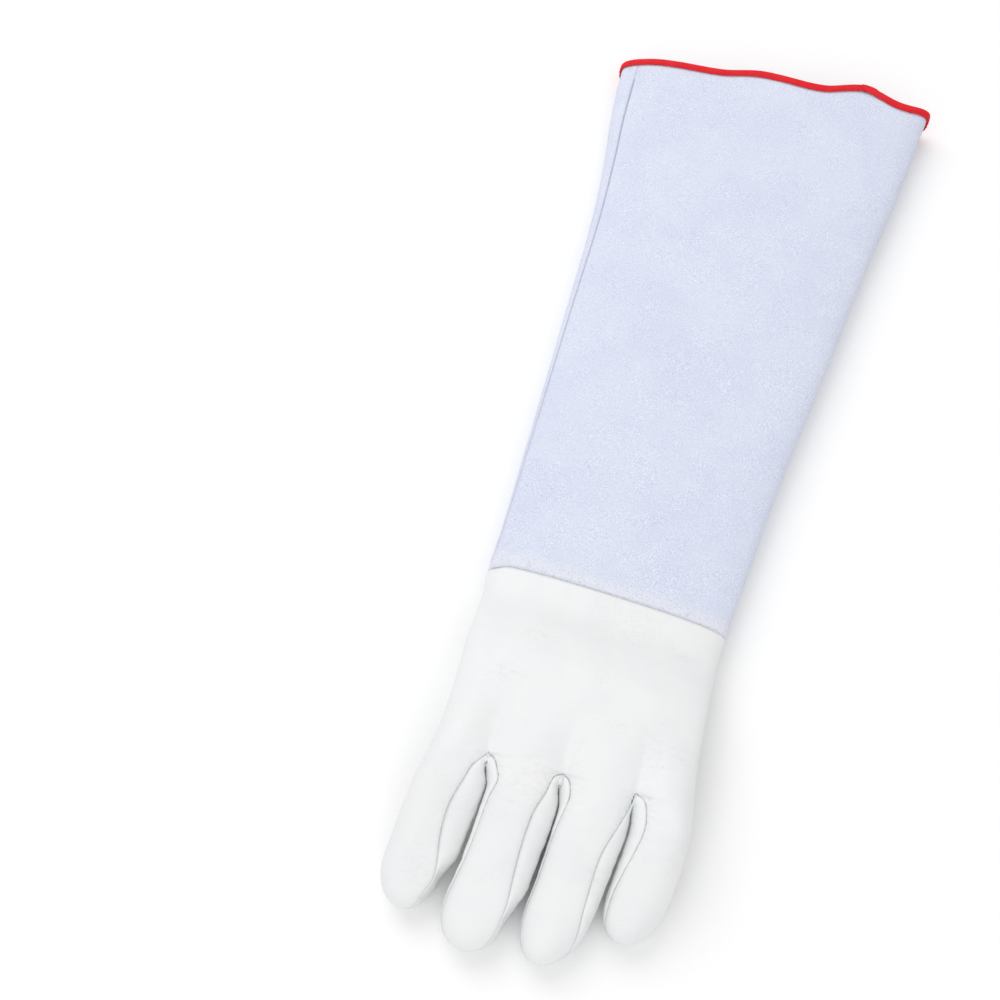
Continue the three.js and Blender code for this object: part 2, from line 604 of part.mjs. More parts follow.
// The origin is under the middle of the whole glove, on the surface that it lies on.
const bounds = new THREE.Box3().setFromObject(glove);
const middle = bounds.getCenter(new THREE.Vector3());
glove.position.set(-middle.x, -middle.y, -bounds.min.z);

export default glove;
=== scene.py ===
"""A long cryogenic glove of white grain leather and pale blue-grey suede, bound in red.

The glove lies on its palm. Its own frame has the origin in the middle of the wrist seam, on the
surface that it lies on: +X to the little finger's side, +Y to the cuff's mouth, +Z up. Sizes are in
millimetres there, and each piece is moved into the row's frame, in metres, when it is made.
"""

import logging
import math
from dataclasses import dataclass
from enum import Enum
from typing import Callable, NamedTuple, Sequence

import bmesh
import bpy
from mathutils import Matrix, Vector, kdtree, noise


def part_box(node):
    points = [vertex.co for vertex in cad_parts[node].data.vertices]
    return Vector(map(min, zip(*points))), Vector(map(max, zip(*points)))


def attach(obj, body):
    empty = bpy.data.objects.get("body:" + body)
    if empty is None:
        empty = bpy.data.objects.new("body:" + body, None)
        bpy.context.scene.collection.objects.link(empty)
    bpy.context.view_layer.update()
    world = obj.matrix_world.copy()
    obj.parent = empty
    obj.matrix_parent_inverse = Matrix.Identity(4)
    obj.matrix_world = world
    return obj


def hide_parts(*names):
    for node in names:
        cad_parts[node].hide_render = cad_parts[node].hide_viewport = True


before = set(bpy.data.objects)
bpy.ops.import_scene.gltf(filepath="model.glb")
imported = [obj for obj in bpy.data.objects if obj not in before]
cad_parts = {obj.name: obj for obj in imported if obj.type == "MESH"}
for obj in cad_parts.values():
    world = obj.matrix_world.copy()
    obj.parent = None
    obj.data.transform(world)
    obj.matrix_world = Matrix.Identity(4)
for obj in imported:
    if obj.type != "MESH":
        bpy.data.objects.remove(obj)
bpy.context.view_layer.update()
MM = 0.001
LOG = logging.getLogger("glove")

Vert = bmesh.types.BMVert
Piece = bpy.types.Object
Material = bpy.types.Material
Triple = tuple[float, float, float]


class Side(Enum):
    """The two sides of the hand or of one finger."""

    INDEX = -1
    LITTLE = 1


class Face(Enum):
    """The two faces of the hand."""

    PALM = -1
    BACK = 1


class Slot(Enum):
    """The record's material slots."""

    GRAIN = "grain_leather"
    SUEDE = "suede"
    TAPE = "binding_tape"


class Finger(NamedTuple):
    """One finger: shares of the knuckle width and of the hand's length."""

    name: str
    width: float
    reach: float


class Line(NamedTuple):
    """A line between two fingers: where its cut ends, its share of the lean, and its bow."""

    reach: float
    lean: float
    bow: float


class Fold(NamedTuple):
    """A soft fold or crease in plan: from and to, its half width and its depth, in millimetres."""

    x0: float
    y0: float
    x1: float
    y1: float
    width: float
    depth: float


class Ridge(NamedTuple):
    """A soft ridge along a seam: its distance, half width and height; below 0 it is a hollow."""

    distance: float
    width: float
    height: float

    def at(self, distance: float) -> float:
        """Its height at a distance from the seam."""
        return self.height * bell(distance, self.distance, self.width)


def rows_of(row: type, *values: tuple) -> tuple:
    """Make a table's rows from their plain values."""
    return tuple(row(*each) for each in values)


def lerp(a: float, b: float, t: float) -> float:
    """Go from a to b by the share t."""
    return a + (b - a) * t


def clamp(value: float, low: float = 0.0, high: float = 1.0) -> float:
    """Keep a value between two limits."""
    return max(low, min(high, value))


def smoothstep(value: float, low: float, high: float) -> float:
    """Rise smoothly from 0 at low to 1 at high."""
    t = clamp((value - low) / (high - low))
    return t * t * (3 - 2 * t)


def bell(value: float, middle: float, width: float) -> float:
    """Rise to 1 at a middle value and fall off on both sides of it."""
    return math.exp(-(((value - middle) / width) ** 2))


def rounded(value: float, power: float) -> float:
    """Bend a cosine or sine so that its circle becomes an oval of a power."""
    return math.copysign(abs(value) ** (2 / power), value)


def ripple(x: float, y: float, z: float) -> float:
    """Smooth noise at a place, about -1 to 1."""
    return noise.noise(Vector((x, y, z)))


class Table:
    """Rows of numbers in named columns, read on a smooth curve through the rows."""

    def __init__(self, names: str, *rows: tuple[float, ...]) -> None:
        """Name the columns and take the rows; without a column ``along`` they are evenly spaced."""
        even = tuple(n / (len(rows) - 1) for n in range(len(rows)))
        self.columns = {"along": even, **dict(zip(names.split(), zip(*rows)))}

    def at(self, name: str, along: float) -> float:
        """Read a column at a share along the table.

        Args:
            name: The column's name.
            along: The place to read it at.

        Returns:
            The column's value there.
        """
        places, values = self.columns["along"], self.columns[name]
        last = len(places) - 1
        after = next((n for n, place in enumerate(places) if place > along), last)
        k = min(max(after - 1, 0), last - 1)

        def slope(p: int, q: int) -> float:
            """Mean slope of the column between two rows."""
            return (values[q] - values[p]) / (places[q] - places[p])

        span = places[k + 1] - places[k]
        t = clamp((along - places[k]) / span)
        start = slope(max(k - 1, 0), k + 1) * span
        end = slope(k, min(k + 2, last)) * span
        return (
            (2 * t**3 - 3 * t**2 + 1) * values[k] + (t**3 - 2 * t**2 + t) * start
            + (3 * t**2 - 2 * t**3) * values[k + 1] + (t**3 - t**2) * end
        )


@dataclass(frozen=True)
class Edge:
    """One side of a finger's strip at one place along it."""

    x: float
    reach: float
    wall_x: float
    wall_reach: float
    height: float
    outer: bool
    cap: float


@dataclass(frozen=True)
class Pattern:
    """The glove's sizes and the surfaces that follow from them, in its own frame."""

    hand_length: float = 203.0
    wrist_width: float = 139.0
    knuckle_width: float = 147.0
    knuckle_offset: float = 7.0
    finger_lean: float = 4.0
    finger_gap: float = 1.0
    palm_thickness: float = 30.0
    finger_thickness: float = 25.0
    crotch_round: float = 14.0
    thumb_length: float = 104.0
    thumb_width: float = 37.0
    thumb_thickness: float = 17.0
    cuff_length: float = 398.0
    mouth_width: float = 209.0
    mouth_thickness: float = 31.0
    suede: float = 2.4
    binding_width: float = 6.0
    binding: float = 1.1
    seam_gap: float = 0.3
    top_roundness: float = 2.6
    underside_roundness: float = 4.0
    underside_flat: float = 0.05
    seam_height: float = 0.74
    crotch_height: float = 0.66
    tip_round: float = 1.4
    web_depth: float = 0.45
    bow_full: float = 0.22
    bow_fading: float = 0.5
    bow_gone: float = 1.1
    full_inset: float = 0.14
    thumb_turn: float = 20.0
    thumb_back: tuple[float, float] = (-0.68, 0.2)
    thumb_roundness: float = 2.5
    air: tuple[float, float] = (0.3, 1.2)
    slimming: tuple[float, float] = (6.0, 4.5)
    lift_fade: tuple[float, float] = (0.12, 0.86)
    faint_inset: float = 0.06
    inset_fade: float = 0.07
    seam_fade: tuple[float, float] = (8.0, 18.0)
    hook_depth: float = 3.0
    hook_start: tuple[float, float] = (56.0, 69.0)
    hook_length: float = 10.0
    spread_power: float = 1.3
    cap_power: float = 0.8
    palm_softness: float = 0.36
    side_softness: float = 0.5
    parting: tuple[float, float] = (0.62, 1.0)
    seam_wrist: float = 8.0
    seam_mouth: float = 30.0
    palm_rows: int = 8
    crotch_rows: int = 4
    finger_rows: int = 5
    tip_rows: int = 4
    # Each finger's share of the knuckle width and of the hand's length.
    fingers: tuple[Finger, ...] = rows_of(
        Finger,
        ("index", 0.234, 0.953), ("middle", 0.272, 1.0), ("ring", 0.264, 0.973),
        ("little", 0.23, 0.86)
    )
    # The lines beside the fingers, from the index finger's free side.
    lines: tuple[Line, ...] = rows_of(
        Line,
        (0.54, 0.9, 0), (0.54, 1.0, 0.03), (0.532, 0.7, 0.021), (0.521, 2.0, 0.014),
        (0.521, 1.8, 0)
    )
    # The forks' seams from their fingers' sides, in shares of the fingers' widths.
    insets: Table = Table(
        "along index_little middle_index middle_little ring_index ring_little little_index",
        (0, 0, 0, 0, 0, 0, 0), (0.02, 0.05, 0.075, 0.08, 0.08, 0.02, 0.1),
        (0.06, 0.13, 0.115, 0.125, 0.12, 0.03, 0.165),
        (0.12, 0.255, 0.145, 0.175, 0.125, 0.07, 0.205),
        (0.22, 0.345, 0.085, 0.26, 0.07, 0.14, 0.225),
        (0.38, 0.405, 0.065, 0.273, 0.03, 0.208, 0.185),
        (0.55, 0.37, 0.05, 0.245, 0.025, 0.185, 0.125),
        (0.7, 0.255, 0.035, 0.182, 0.02, 0.135, 0.085), (0.8, 0.18, 0.02, 0.14, 0.01, 0.064, 0.06),
        (0.9, 0.13, 0, 0.06, 0, -0.01, 0.01), (1, -0.02, -0.03, -0.03, -0.03, -0.08, -0.04)
    )
    # The hand's two sides: 0 is the wrist's edge and 1 the outer finger's.
    sides: Table = Table(
        "along index little",
        (0, 0, 0), (0.12, 1, -0.02), (0.25, 1.6, 0.07), (0.37, 2.2, 0.27), (0.48, 2.5, 0.57),
        (0.53, 2.4, 0.75), (0.6, 1.8, 0.95), (0.7, 1.3, 1.03), (0.8, 1, 1), (1, 1, 1)
    )
    # The underside's lift over the thumb and the thinning towards the fingers.
    profile: Table = Table(
        "along lift thinning",
        (0, 0, 0.1), (0.09, 0.13, 0), (0.19, 0.68, 0), (0.28, 1, 0), (0.5, 1, 0.2), (0.66, 1, 0.85),
        (1, 1, 1)
    )
    # The half widths and the thickness, from the wrist's at 0 to the mouth's at 1.
    cuff: Table = Table(
        "along index little thickness",
        (0, 0, 0, 0), (0.07, 0.02, 0.04, 0.1), (0.25, 0.15, 0.16, 0.4), (0.45, 0.31, 0.38, 0.6),
        (0.65, 0.48, 0.6, 0.8), (0.78, 0.67, 0.75, 0.9), (0.87, 0.83, 0.86, 0.95), (1, 1, 1, 1)
    )
    # The mouth's edge beyond the cuff's length, at a share across the mouth.
    mouth: Table = Table(
        "along beyond",
        (-1, -0.026), (-0.75, -0.018), (-0.35, -0.014), (-0.1, 0.003), (0.3, 0.006), (0.55, 0.03),
        (0.8, 0.019), (1, 0.031)
    )
    # The thumb's sections: upper and lower point and width, as shares.
    thumb: Table = Table(
        "upper_along upper lower_along lower width",
        (0.43, 1.42, 0.02, 1.34, 0.86), (0.43, 1.12, 0.01, 0.98, 0.9),
        (0.46, 0.97, 0.02, 0.5, 0.95), (0.5, 0.95, 0.08, 0.12, 1), (0.56, 0.94, 0.25, 0, 1),
        (0.65, 0.93, 0.5, 0, 0.97), (0.76, 0.9, 0.74, 0, 0.92), (0.88, 0.82, 0.88, 0.03, 0.78),
        (0.96, 0.68, 0.96, 0.14, 0.48), (1, 0.45, 1, 0.37, 0.12)
    )

    @property
    def straight_row(self) -> int:
        """Row at which the rounding of a cut has ended."""
        return self.palm_rows + self.crotch_rows

    @property
    def round_row(self) -> int:
        """Row at which a fingertip's rounding begins."""
        return self.straight_row + self.finger_rows

    @property
    def tip_row(self) -> int:
        """Last row, at the fingertip."""
        return self.round_row + self.tip_rows

    @property
    def knuckle_start(self) -> float:
        """The index finger's free side at the knuckles."""
        return self.knuckle_offset - self.knuckle_width / 2

    @property
    def knuckle_line(self) -> float:
        """Distance from the wrist at which the fingers begin to lean."""
        return min(line.reach for line in self.lines) * self.hand_length

    def finger_width(self, index: int) -> float:
        """Width of one finger at the knuckles."""
        total = sum(finger.width for finger in self.fingers)
        return self.fingers[index].width * self.knuckle_width / total

    def finger_line(self, line: int, reach: float) -> float:
        """The line between two fingers, or a free side, at a distance from the wrist."""
        knuckle = self.knuckle_start + sum(self.finger_width(n) for n in range(line))
        bent = max(0.0, reach - self.knuckle_line) / (self.hand_length - self.knuckle_line)
        bowed = smoothstep(bent, 0, self.bow_full)
        bowed *= 1 - smoothstep(bent, self.bow_fading, self.bow_gone)
        _, lean, bow = self.lines[line]
        return knuckle - lean * self.finger_lean * bent**1.5 + bow * self.knuckle_width * bowed

    def hand_side(self, side: Side, reach: float) -> float:
        """Where the hand's outline runs on one side."""
        column = "index" if side is Side.INDEX else "little"
        share = self.sides.at(column, reach / self.hand_length)
        line = 0 if side is Side.INDEX else len(self.fingers)
        return lerp(side.value * self.wrist_width / 2, self.finger_line(line, reach), share)

    def bulk(self, reach: float, index: int) -> tuple[float, float]:
        """Half thickness and middle height of the hand at a distance from the wrist."""
        along = reach / self.hand_length
        thin = clamp(self.profile.at("thinning", along))
        half = lerp(self.palm_thickness, self.finger_thickness, thin) / 2
        under = self.thumb_thickness + self.seam_gap
        raised = clamp(self.profile.at("lift", along)) * under
        tip = self.fingers[index].reach * self.hand_length
        bent = (reach - self.knuckle_line) / (tip - self.knuckle_line)
        return half, raised * (1 - smoothstep(bent, *self.lift_fade)) + half

    def inset(self, index: int, side: Side, reach: float) -> float:
        """A fork seam's inset at a distance from the wrist, as a share of its finger's width."""
        finger = self.fingers[index]
        apex = self.apex(self.line_of(index, side))
        along = clamp((reach - apex) / (finger.reach * self.hand_length - apex))
        return max(0.0, self.insets.at(f"{finger.name}_{side.name.lower()}", along))

    def finger_middle(self, index: int, reach: float) -> float:
        """A finger's middle line at a distance from the wrist."""
        return (self.finger_line(index, reach) + self.finger_line(index + 1, reach)) / 2

    def line_of(self, index: int, side: Side) -> int:
        """The line that runs along one side of a finger."""
        return index if side is Side.INDEX else index + 1

    def apex(self, line: int) -> float:
        """Distance from the wrist at which a line's cut ends."""
        return self.lines[line].reach * self.hand_length

    def finger_at(self, x: float, reach: float) -> int:
        """The finger whose strip lies at a place in plan."""
        lines = range(1, len(self.fingers))
        return sum(x > self.finger_line(line, reach) for line in lines)

    def sewn(self, x: float, reach: float) -> float:
        """How plainly a panel's seam shows at a place: less where a fork has thinned out."""
        index = self.finger_at(x, reach)
        middle = self.finger_middle(index, reach)
        side = Side.INDEX if x < middle else Side.LITTLE
        line = self.line_of(index, side)
        if line in (0, len(self.fingers)):
            return 1.0
        past = reach - self.apex(line)
        shown = clamp((self.inset(index, side, reach) - self.faint_inset) / self.inset_fade)
        return max(shown, 1 - smoothstep(past, *self.seam_fade))

    def slimmed(self, index: int, side: Side, along: float) -> float:
        """How much slimmer than its solid a fork's strip is towards a fingertip, in millimetres."""
        if side is Side.INDEX or index >= len(self.slimming):
            return 0.0
        share = 0.16 * smoothstep(along, 0.3, 0.5) + 0.84 * smoothstep(along, 0.58, 0.8)
        return self.slimming[index] * share

    def wrist_hook(self, vert: Vert) -> Vector:
        """How the wrist seam dips towards the fingers at its index end, in millimetres."""
        dip = -self.hook_depth * smoothstep(-vert.co.x, *self.hook_start)
        return Vector((0, dip * bell(vert.co.y, 0, self.hook_length), 0))

    def edge(self, index: int, side: Side, row: float) -> Edge:
        """One side of one finger's strip at a row.

        Args:
            index: The finger, from the index finger's 0.
            side: The side of the finger.
            row: The place along the strip; fractions lie between rows.

        Returns:
            The edge's place in plan, its side wall's and its height over the middle.
        """
        finger = self.fingers[index]
        line = self.line_of(index, side)
        apex = self.apex(line)
        outer = line in (0, len(self.fingers))
        width = self.finger_width(index)
        if row <= self.palm_rows:
            reach = apex * row / self.palm_rows
            knuckle = self.finger_line(line, reach)
            wrist = ((knuckle - self.knuckle_start) / self.knuckle_width - 0.5) * self.wrist_width
            x = (
                self.hand_side(side, reach) if outer
                else lerp(wrist, knuckle, (row / self.palm_rows) ** self.spread_power)
            )
            height = 0.0 if outer else self.crotch_height
            web = apex + self.web_depth * self.crotch_round
            return Edge(x, reach, knuckle, web, height, outer, 1.0)
        turn = min(row - self.palm_rows, self.crotch_rows) / self.crotch_rows * math.pi / 2
        taper = max(0.0, row - self.round_row) / self.tip_rows * math.pi / 2
        straight = clamp((row - self.straight_row) / self.finger_rows)
        tip = finger.reach * self.hand_length
        rounding = self.tip_round * width / 2
        turned = turn / (math.pi / 2) if outer else 1 - math.cos(turn)
        reach = lerp(apex + self.crotch_round * turned, tip - rounding, straight)
        reach += rounding * math.sin(taper)
        middle = self.finger_middle(index, reach)
        free = self.hand_side(side, reach) if outer else self.finger_line(line, reach)
        full = side.value * (free - middle)
        along = clamp((reach - apex) / (tip - apex))
        air = self.finger_gap * lerp(*self.air, smoothstep(along, 0.12, 0.45))
        full -= 0.0 if outer else air / 2 * math.sin(turn)
        half = full * math.cos(taper)
        inset = 0.0 if outer else self.inset(index, side, reach)
        seam = max(0.0, half - inset * width)
        opened = lerp(1, clamp(inset / self.full_inset), math.sin(turn))
        share = lerp(self.crotch_height, self.seam_height, math.sin(turn))
        height = 0.0 if outer else share * math.sqrt(opened)
        web = self.web_depth + (1 - self.web_depth) * (1 - math.cos(turn))
        wall_reach = apex + self.crotch_round * web if row < self.straight_row else reach
        cap = max(0.0, math.cos(taper)) ** self.cap_power
        wall = half - min(self.slimmed(index, side, along), 0.75 * (half - seam))
        return Edge(middle + side.value * seam, reach, middle + side.value * wall, wall_reach,
                    height, outer, cap)

    def hand_point(self, index: int, row: float, q: float, face: Face) -> Vector:
        """A point on the back or the palm.

        Args:
            index: The finger whose strip it is on.
            row: The place along the strip.
            q: The place across the strip, from -1 to 1.
            face: Back or palm.

        Returns:
            The point in the glove's frame, in millimetres.
        """
        a, b = self.edge(index, Side.INDEX, row), self.edge(index, Side.LITTLE, row)
        u = (1 + q) / 2
        x, reach = lerp(a.x, b.x, u), lerp(a.reach, b.reach, u)
        half, middle = self.bulk(reach, index)
        rise = half * a.cap
        low = lerp(a.height, b.height, u) * rise
        soft = self.palm_softness
        if face is Face.BACK:
            fingers = smoothstep(row, self.palm_rows - 1, self.straight_row)
            soft = lerp(1, self.side_softness, fingers)
        if (a.outer and q < 0) or (b.outer and q > 0):
            soft = self.side_softness
        on_strip = low + (rise - low) * max(0.0, 1 - q * q) ** soft
        left, right = self.hand_side(Side.INDEX, reach), self.hand_side(Side.LITTLE, reach)
        share = min(1.0, abs(x - (left + right) / 2) / ((right - left) / 2))
        if face is Face.BACK:
            section = (1 - share**self.top_roundness) ** (1 / self.top_roundness)
        else:
            section = self.underside(share)
        parted = smoothstep(min(1.0, row / self.palm_rows), *self.parting)
        height = lerp(half * section, on_strip, parted)
        return Vector((x, -reach, middle + face.value * height))

    def underside(self, share: float) -> float:
        """Height of the flat-bottomed oval at a share of its half width."""
        oval = (1 - min(1.0, abs(share)) ** self.underside_roundness)
        return min(1.0, (1 + self.underside_flat) * oval ** (1 / self.underside_roundness))

    def cuff_point(self, along: float, angle: float, out: float = 0.0) -> Vector:
        """A point on the cuff's outside.

        Args:
            along: The share from the wrist to the mouth.
            angle: The angle round it, in radians: 0 on the index side and a quarter turn on top.
            out: How far the point lies off the surface, in millimetres.

        Returns:
            The point in the glove's frame.
        """
        here = self.cuff_section(along, angle)
        if out:
            ahead = self.cuff_section(along, angle + 0.02) - self.cuff_section(along, angle - 0.02)
            here = here + Vector((-ahead.y, ahead.x)).normalized() * out
        half = lerp(self.wrist_width, self.mouth_width, self.cuff.at("little", along)) / 2
        beyond = self.cuff_length * self.mouth.at("beyond", clamp(here.x / half, -1, 1))
        y = self.cuff_length * along + beyond * along**3
        return Vector((here.x, y, here.y))

    def cuff_section(self, along: float, angle: float) -> Vector:
        """The cuff's section at a share along it, as a point at an angle: across and up."""
        cos, sin = math.cos(angle), math.sin(angle)
        side = "index" if cos > 0 else "little"
        half = lerp(self.wrist_width, self.mouth_width, self.cuff.at(side, along)) / 2
        wrist = self.bulk(0, 0)[0]
        rise = lerp(wrist, self.mouth_thickness / 2, self.cuff.at("thickness", along))
        lift = (self.binding + 2 * self.seam_gap) * smoothstep(along, 0.92, 1)
        power = self.top_roundness if sin >= 0 else self.underside_roundness
        x = -rounded(cos, power)
        height = abs(sin) ** (2 / power) if sin >= 0 else -self.underside(x)
        return Vector((half * x, lift + rise * (1 + height)))

    def seam_angle(self, along: float) -> float:
        """The angle of the cuff's long seam at a share along it, in radians."""
        return math.radians(lerp(self.seam_wrist, self.seam_mouth, along))

    def thumb_point(self, along: float, angle: float) -> Vector:
        """A point on the thumb, at a share along its sections and an angle round it."""
        turn = math.radians(self.thumb_turn)
        forward = Vector((math.sin(turn), -math.cos(turn), 0))
        across = Vector((math.cos(turn), math.sin(turn), 0))
        back_x, back_reach = self.thumb_back
        start = Vector((back_x * self.wrist_width / 2, -back_reach * self.hand_length, 0))

        def at(which: str) -> Vector:
            """The upper or lower point of the section."""
            point = start + forward * self.thumb.at(f"{which}_along", along) * self.thumb_length
            return point + Vector((0, 0, self.thumb.at(which, along) * self.thumb_thickness))

        upper, lower = at("upper"), at("lower")
        tall = (upper - lower) / 2
        wide = across * self.thumb.at("width", along) * self.thumb_width / 2
        cos, sin = math.cos(angle), math.sin(angle)
        return (
            (upper + lower) / 2
            + wide * rounded(cos, self.thumb_roundness)
            + tall * rounded(sin, self.thumb_roundness)
        )


PATTERN = Pattern()


def frame_shift() -> Vector:
    """Where the glove's own origin lies in the row's frame, in metres, read from the CAD nodes."""
    cuff_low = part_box("cuff")[0]
    hand_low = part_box("back_panel")[0]
    x = hand_low[0] + PATTERN.wrist_width / 2 * MM
    return Vector((x, cuff_low[1] - PATTERN.seam_gap / 2 * MM, 0.0))


class Sock:
    """A shader value that can be used in Python arithmetic."""

    def __init__(self, nodes: "Nodes", socket: bpy.types.NodeSocket) -> None:
        """Wrap an output socket of a node tree."""
        self.nodes = nodes
        self.socket = socket

    def _math(self, operation: str, *values: "Sock | float") -> "Sock":
        """Add a Math node."""
        return self.nodes.node("ShaderNodeMath", {"operation": operation}, list(values))

    def __add__(self, other: "Sock | float") -> "Sock":
        """Add."""
        return self._math("ADD", self, other)

    __radd__ = __add__

    def __sub__(self, other: "Sock | float") -> "Sock":
        """Take away."""
        return self._math("SUBTRACT", self, other)

    def __rsub__(self, other: float) -> "Sock":
        """Take this away from a number."""
        return self._math("SUBTRACT", other, self)

    def __mul__(self, other: "Sock | float") -> "Sock":
        """Multiply."""
        return self._math("MULTIPLY", self, other)

    __rmul__ = __mul__

    def __pow__(self, other: float) -> "Sock":
        """Raise to a power."""
        return self._math("POWER", self, other)

    def clamped(self) -> "Sock":
        """Keep the value between 0 and 1."""
        return self.nodes.node(
            "ShaderNodeClamp", {}, {"Value": self, "Min": 0.0, "Max": 1.0})

    def stepped(self, low: float, high: float) -> "Sock":
        """Rise smoothly from 0 at low to 1 at high."""
        return self.nodes.node(
            "ShaderNodeMapRange", {"interpolation_type": "SMOOTHSTEP"},
            {"Value": self, "From Min": low, "From Max": high})


class Nodes:
    """The node tree of one new material."""

    def __init__(self, name: str) -> None:
        """Start an empty material with a Principled shader."""
        self.material = bpy.data.materials.new(name)
        self.material.use_nodes = True
        self.tree = self.material.node_tree
        self.tree.nodes.clear()
        self.shader = self.tree.nodes.new("ShaderNodeBsdfPrincipled")
        output = self.tree.nodes.new("ShaderNodeOutputMaterial")
        self.tree.links.new(self.shader.outputs["BSDF"], output.inputs["Surface"])

    def feed(self, target: bpy.types.NodeSocket, value: object) -> None:
        """Link a wrapped socket to an input, or set it to a constant; a colour is made opaque."""
        if isinstance(value, Sock):
            self.tree.links.new(value.socket, target)
        else:
            target.default_value = (*value, 1.0) if target.type == "RGBA" else value

    def node(self, kind: str, settings: dict[str, object],
             inputs: dict[str, object] | list[object], output: str | int = 0) -> Sock:
        """Add a node.

        Args:
            kind: The node's type.
            settings: Its properties, set first.
            inputs: Values or links for its sockets, by name or in order.
            output: The output to return.

        Returns:
            The wrapped output.
        """
        made = self.tree.nodes.new(kind)
        for key, value in settings.items():
            setattr(made, key, value)
        pairs = inputs.items() if isinstance(inputs, dict) else enumerate(inputs)
        for key, value in pairs:
            self.feed(made.inputs[key], value)
        return Sock(self, made.outputs[output])

    def place(self) -> Sock:
        """Object coordinates."""
        return self.node("ShaderNodeTexCoord", {}, {}, "Object")

    def attribute(self, name: str) -> Sock:
        """A number stored on the piece's points."""
        return self.node("ShaderNodeAttribute", {"attribute_name": name}, {}, "Fac")

    def noise(self, scale: float, detail: float = 2.0, roughness: float = 0.5,
              vector: Sock | None = None, distortion: float = 0.0) -> Sock:
        """Fractal noise of so many cells to the metre."""
        return self.node("ShaderNodeTexNoise", {}, {
            "Vector": vector or self.place(), "Scale": scale, "Detail": detail,
            "Roughness": roughness, "Distortion": distortion})

    def cells(self, scale: float) -> Sock:
        """Distance to the cells of a Voronoi pattern."""
        return self.node("ShaderNodeTexVoronoi", {}, {
            "Vector": self.place(), "Scale": scale}, "Distance")

    def stretched(self, scale: tuple[float, float, float], turn: float = 0.0) -> Sock:
        """Object coordinates, turned about Z and scaled by axis."""
        return self.node("ShaderNodeMapping", {}, {
            "Vector": self.place(), "Rotation": (0.0, 0.0, turn), "Scale": scale})

    def mixed(self, share: Sock | float, a: object, b: object) -> Sock:
        """A colour that goes from a to b."""
        return self.node("ShaderNodeMix", {"data_type": "RGBA"}, {0: share, 6: a, 7: b}, 2)

    def bumped(self, height: Sock, distance: float, strength: float = 1.0,
               normal: Sock | None = None) -> Sock:
        """A normal from a height; distance is the height's real size in metres."""
        inputs: dict[str, object] = {"Height": height, "Distance": distance, "Strength": strength}
        if normal is not None:
            inputs["Normal"] = normal
        return self.node("ShaderNodeBump", {}, inputs)

    def finish(self, **values: object) -> Material:
        """Set the shader's sockets by name, with underscores for spaces."""
        for key, value in values.items():
            self.feed(self.shader.inputs[key.replace("_", " ")], value)
        return self.material


@dataclass(frozen=True)
class GrainLeather:
    """Smooth white grain leather with fine pores and soft creases."""

    base: Triple = (0.80, 0.815, 0.825)
    cool: Triple = (0.77, 0.787, 0.81)
    warm: Triple = (0.808, 0.817, 0.812)
    # Painted shade: the grey that the leather is darkened towards along its seams, where the
    # grooves between pieces are shaded.
    seam: Triple = (0.55, 0.55, 0.56)
    roughness: float = 0.5

    def material(self, name: str) -> Material:
        """Build the leather's node tree."""
        n = Nodes(name)
        clouds = n.noise(22, 3, 0.55).stepped(0.38, 0.62)
        tint = n.noise(55, 2, 0.5).stepped(0.45, 0.62)
        colour = n.mixed(clouds, self.base, self.warm)
        colour = n.mixed(tint * 0.45, colour, self.cool)
        # Painted shade: greyer along the seams, where the grooves between the pieces are shaded.
        seam = n.attribute("seam")
        colour = n.mixed(seam.stepped(0.4, 1.0) * 0.1, colour, self.seam)
        pores = n.cells(1500) * 0.6 + n.noise(2600, 2, 0.6) * 0.4
        lines = n.noise(160, 4, 0.62, n.stretched((1.0, 1.6, 1.0), 0.35), 0.8)
        creases = 1 - ((lines - 0.5) * 9) ** 2
        crazed = creases.clamped() * n.noise(30, 2, 0.5).stepped(0.48, 0.66)
        normal = n.bumped(pores, 0.00007, 0.55)
        normal = n.bumped(1 - crazed, 0.00022, 0.55, normal)
        rough = n.noise(300, 2, 0.5) * 0.12 + (self.roughness - 0.06)
        return n.finish(Base_Color=colour, Roughness=rough, Normal=normal,
                        Specular_IOR_Level=0.42, Sheen_Weight=0.05)


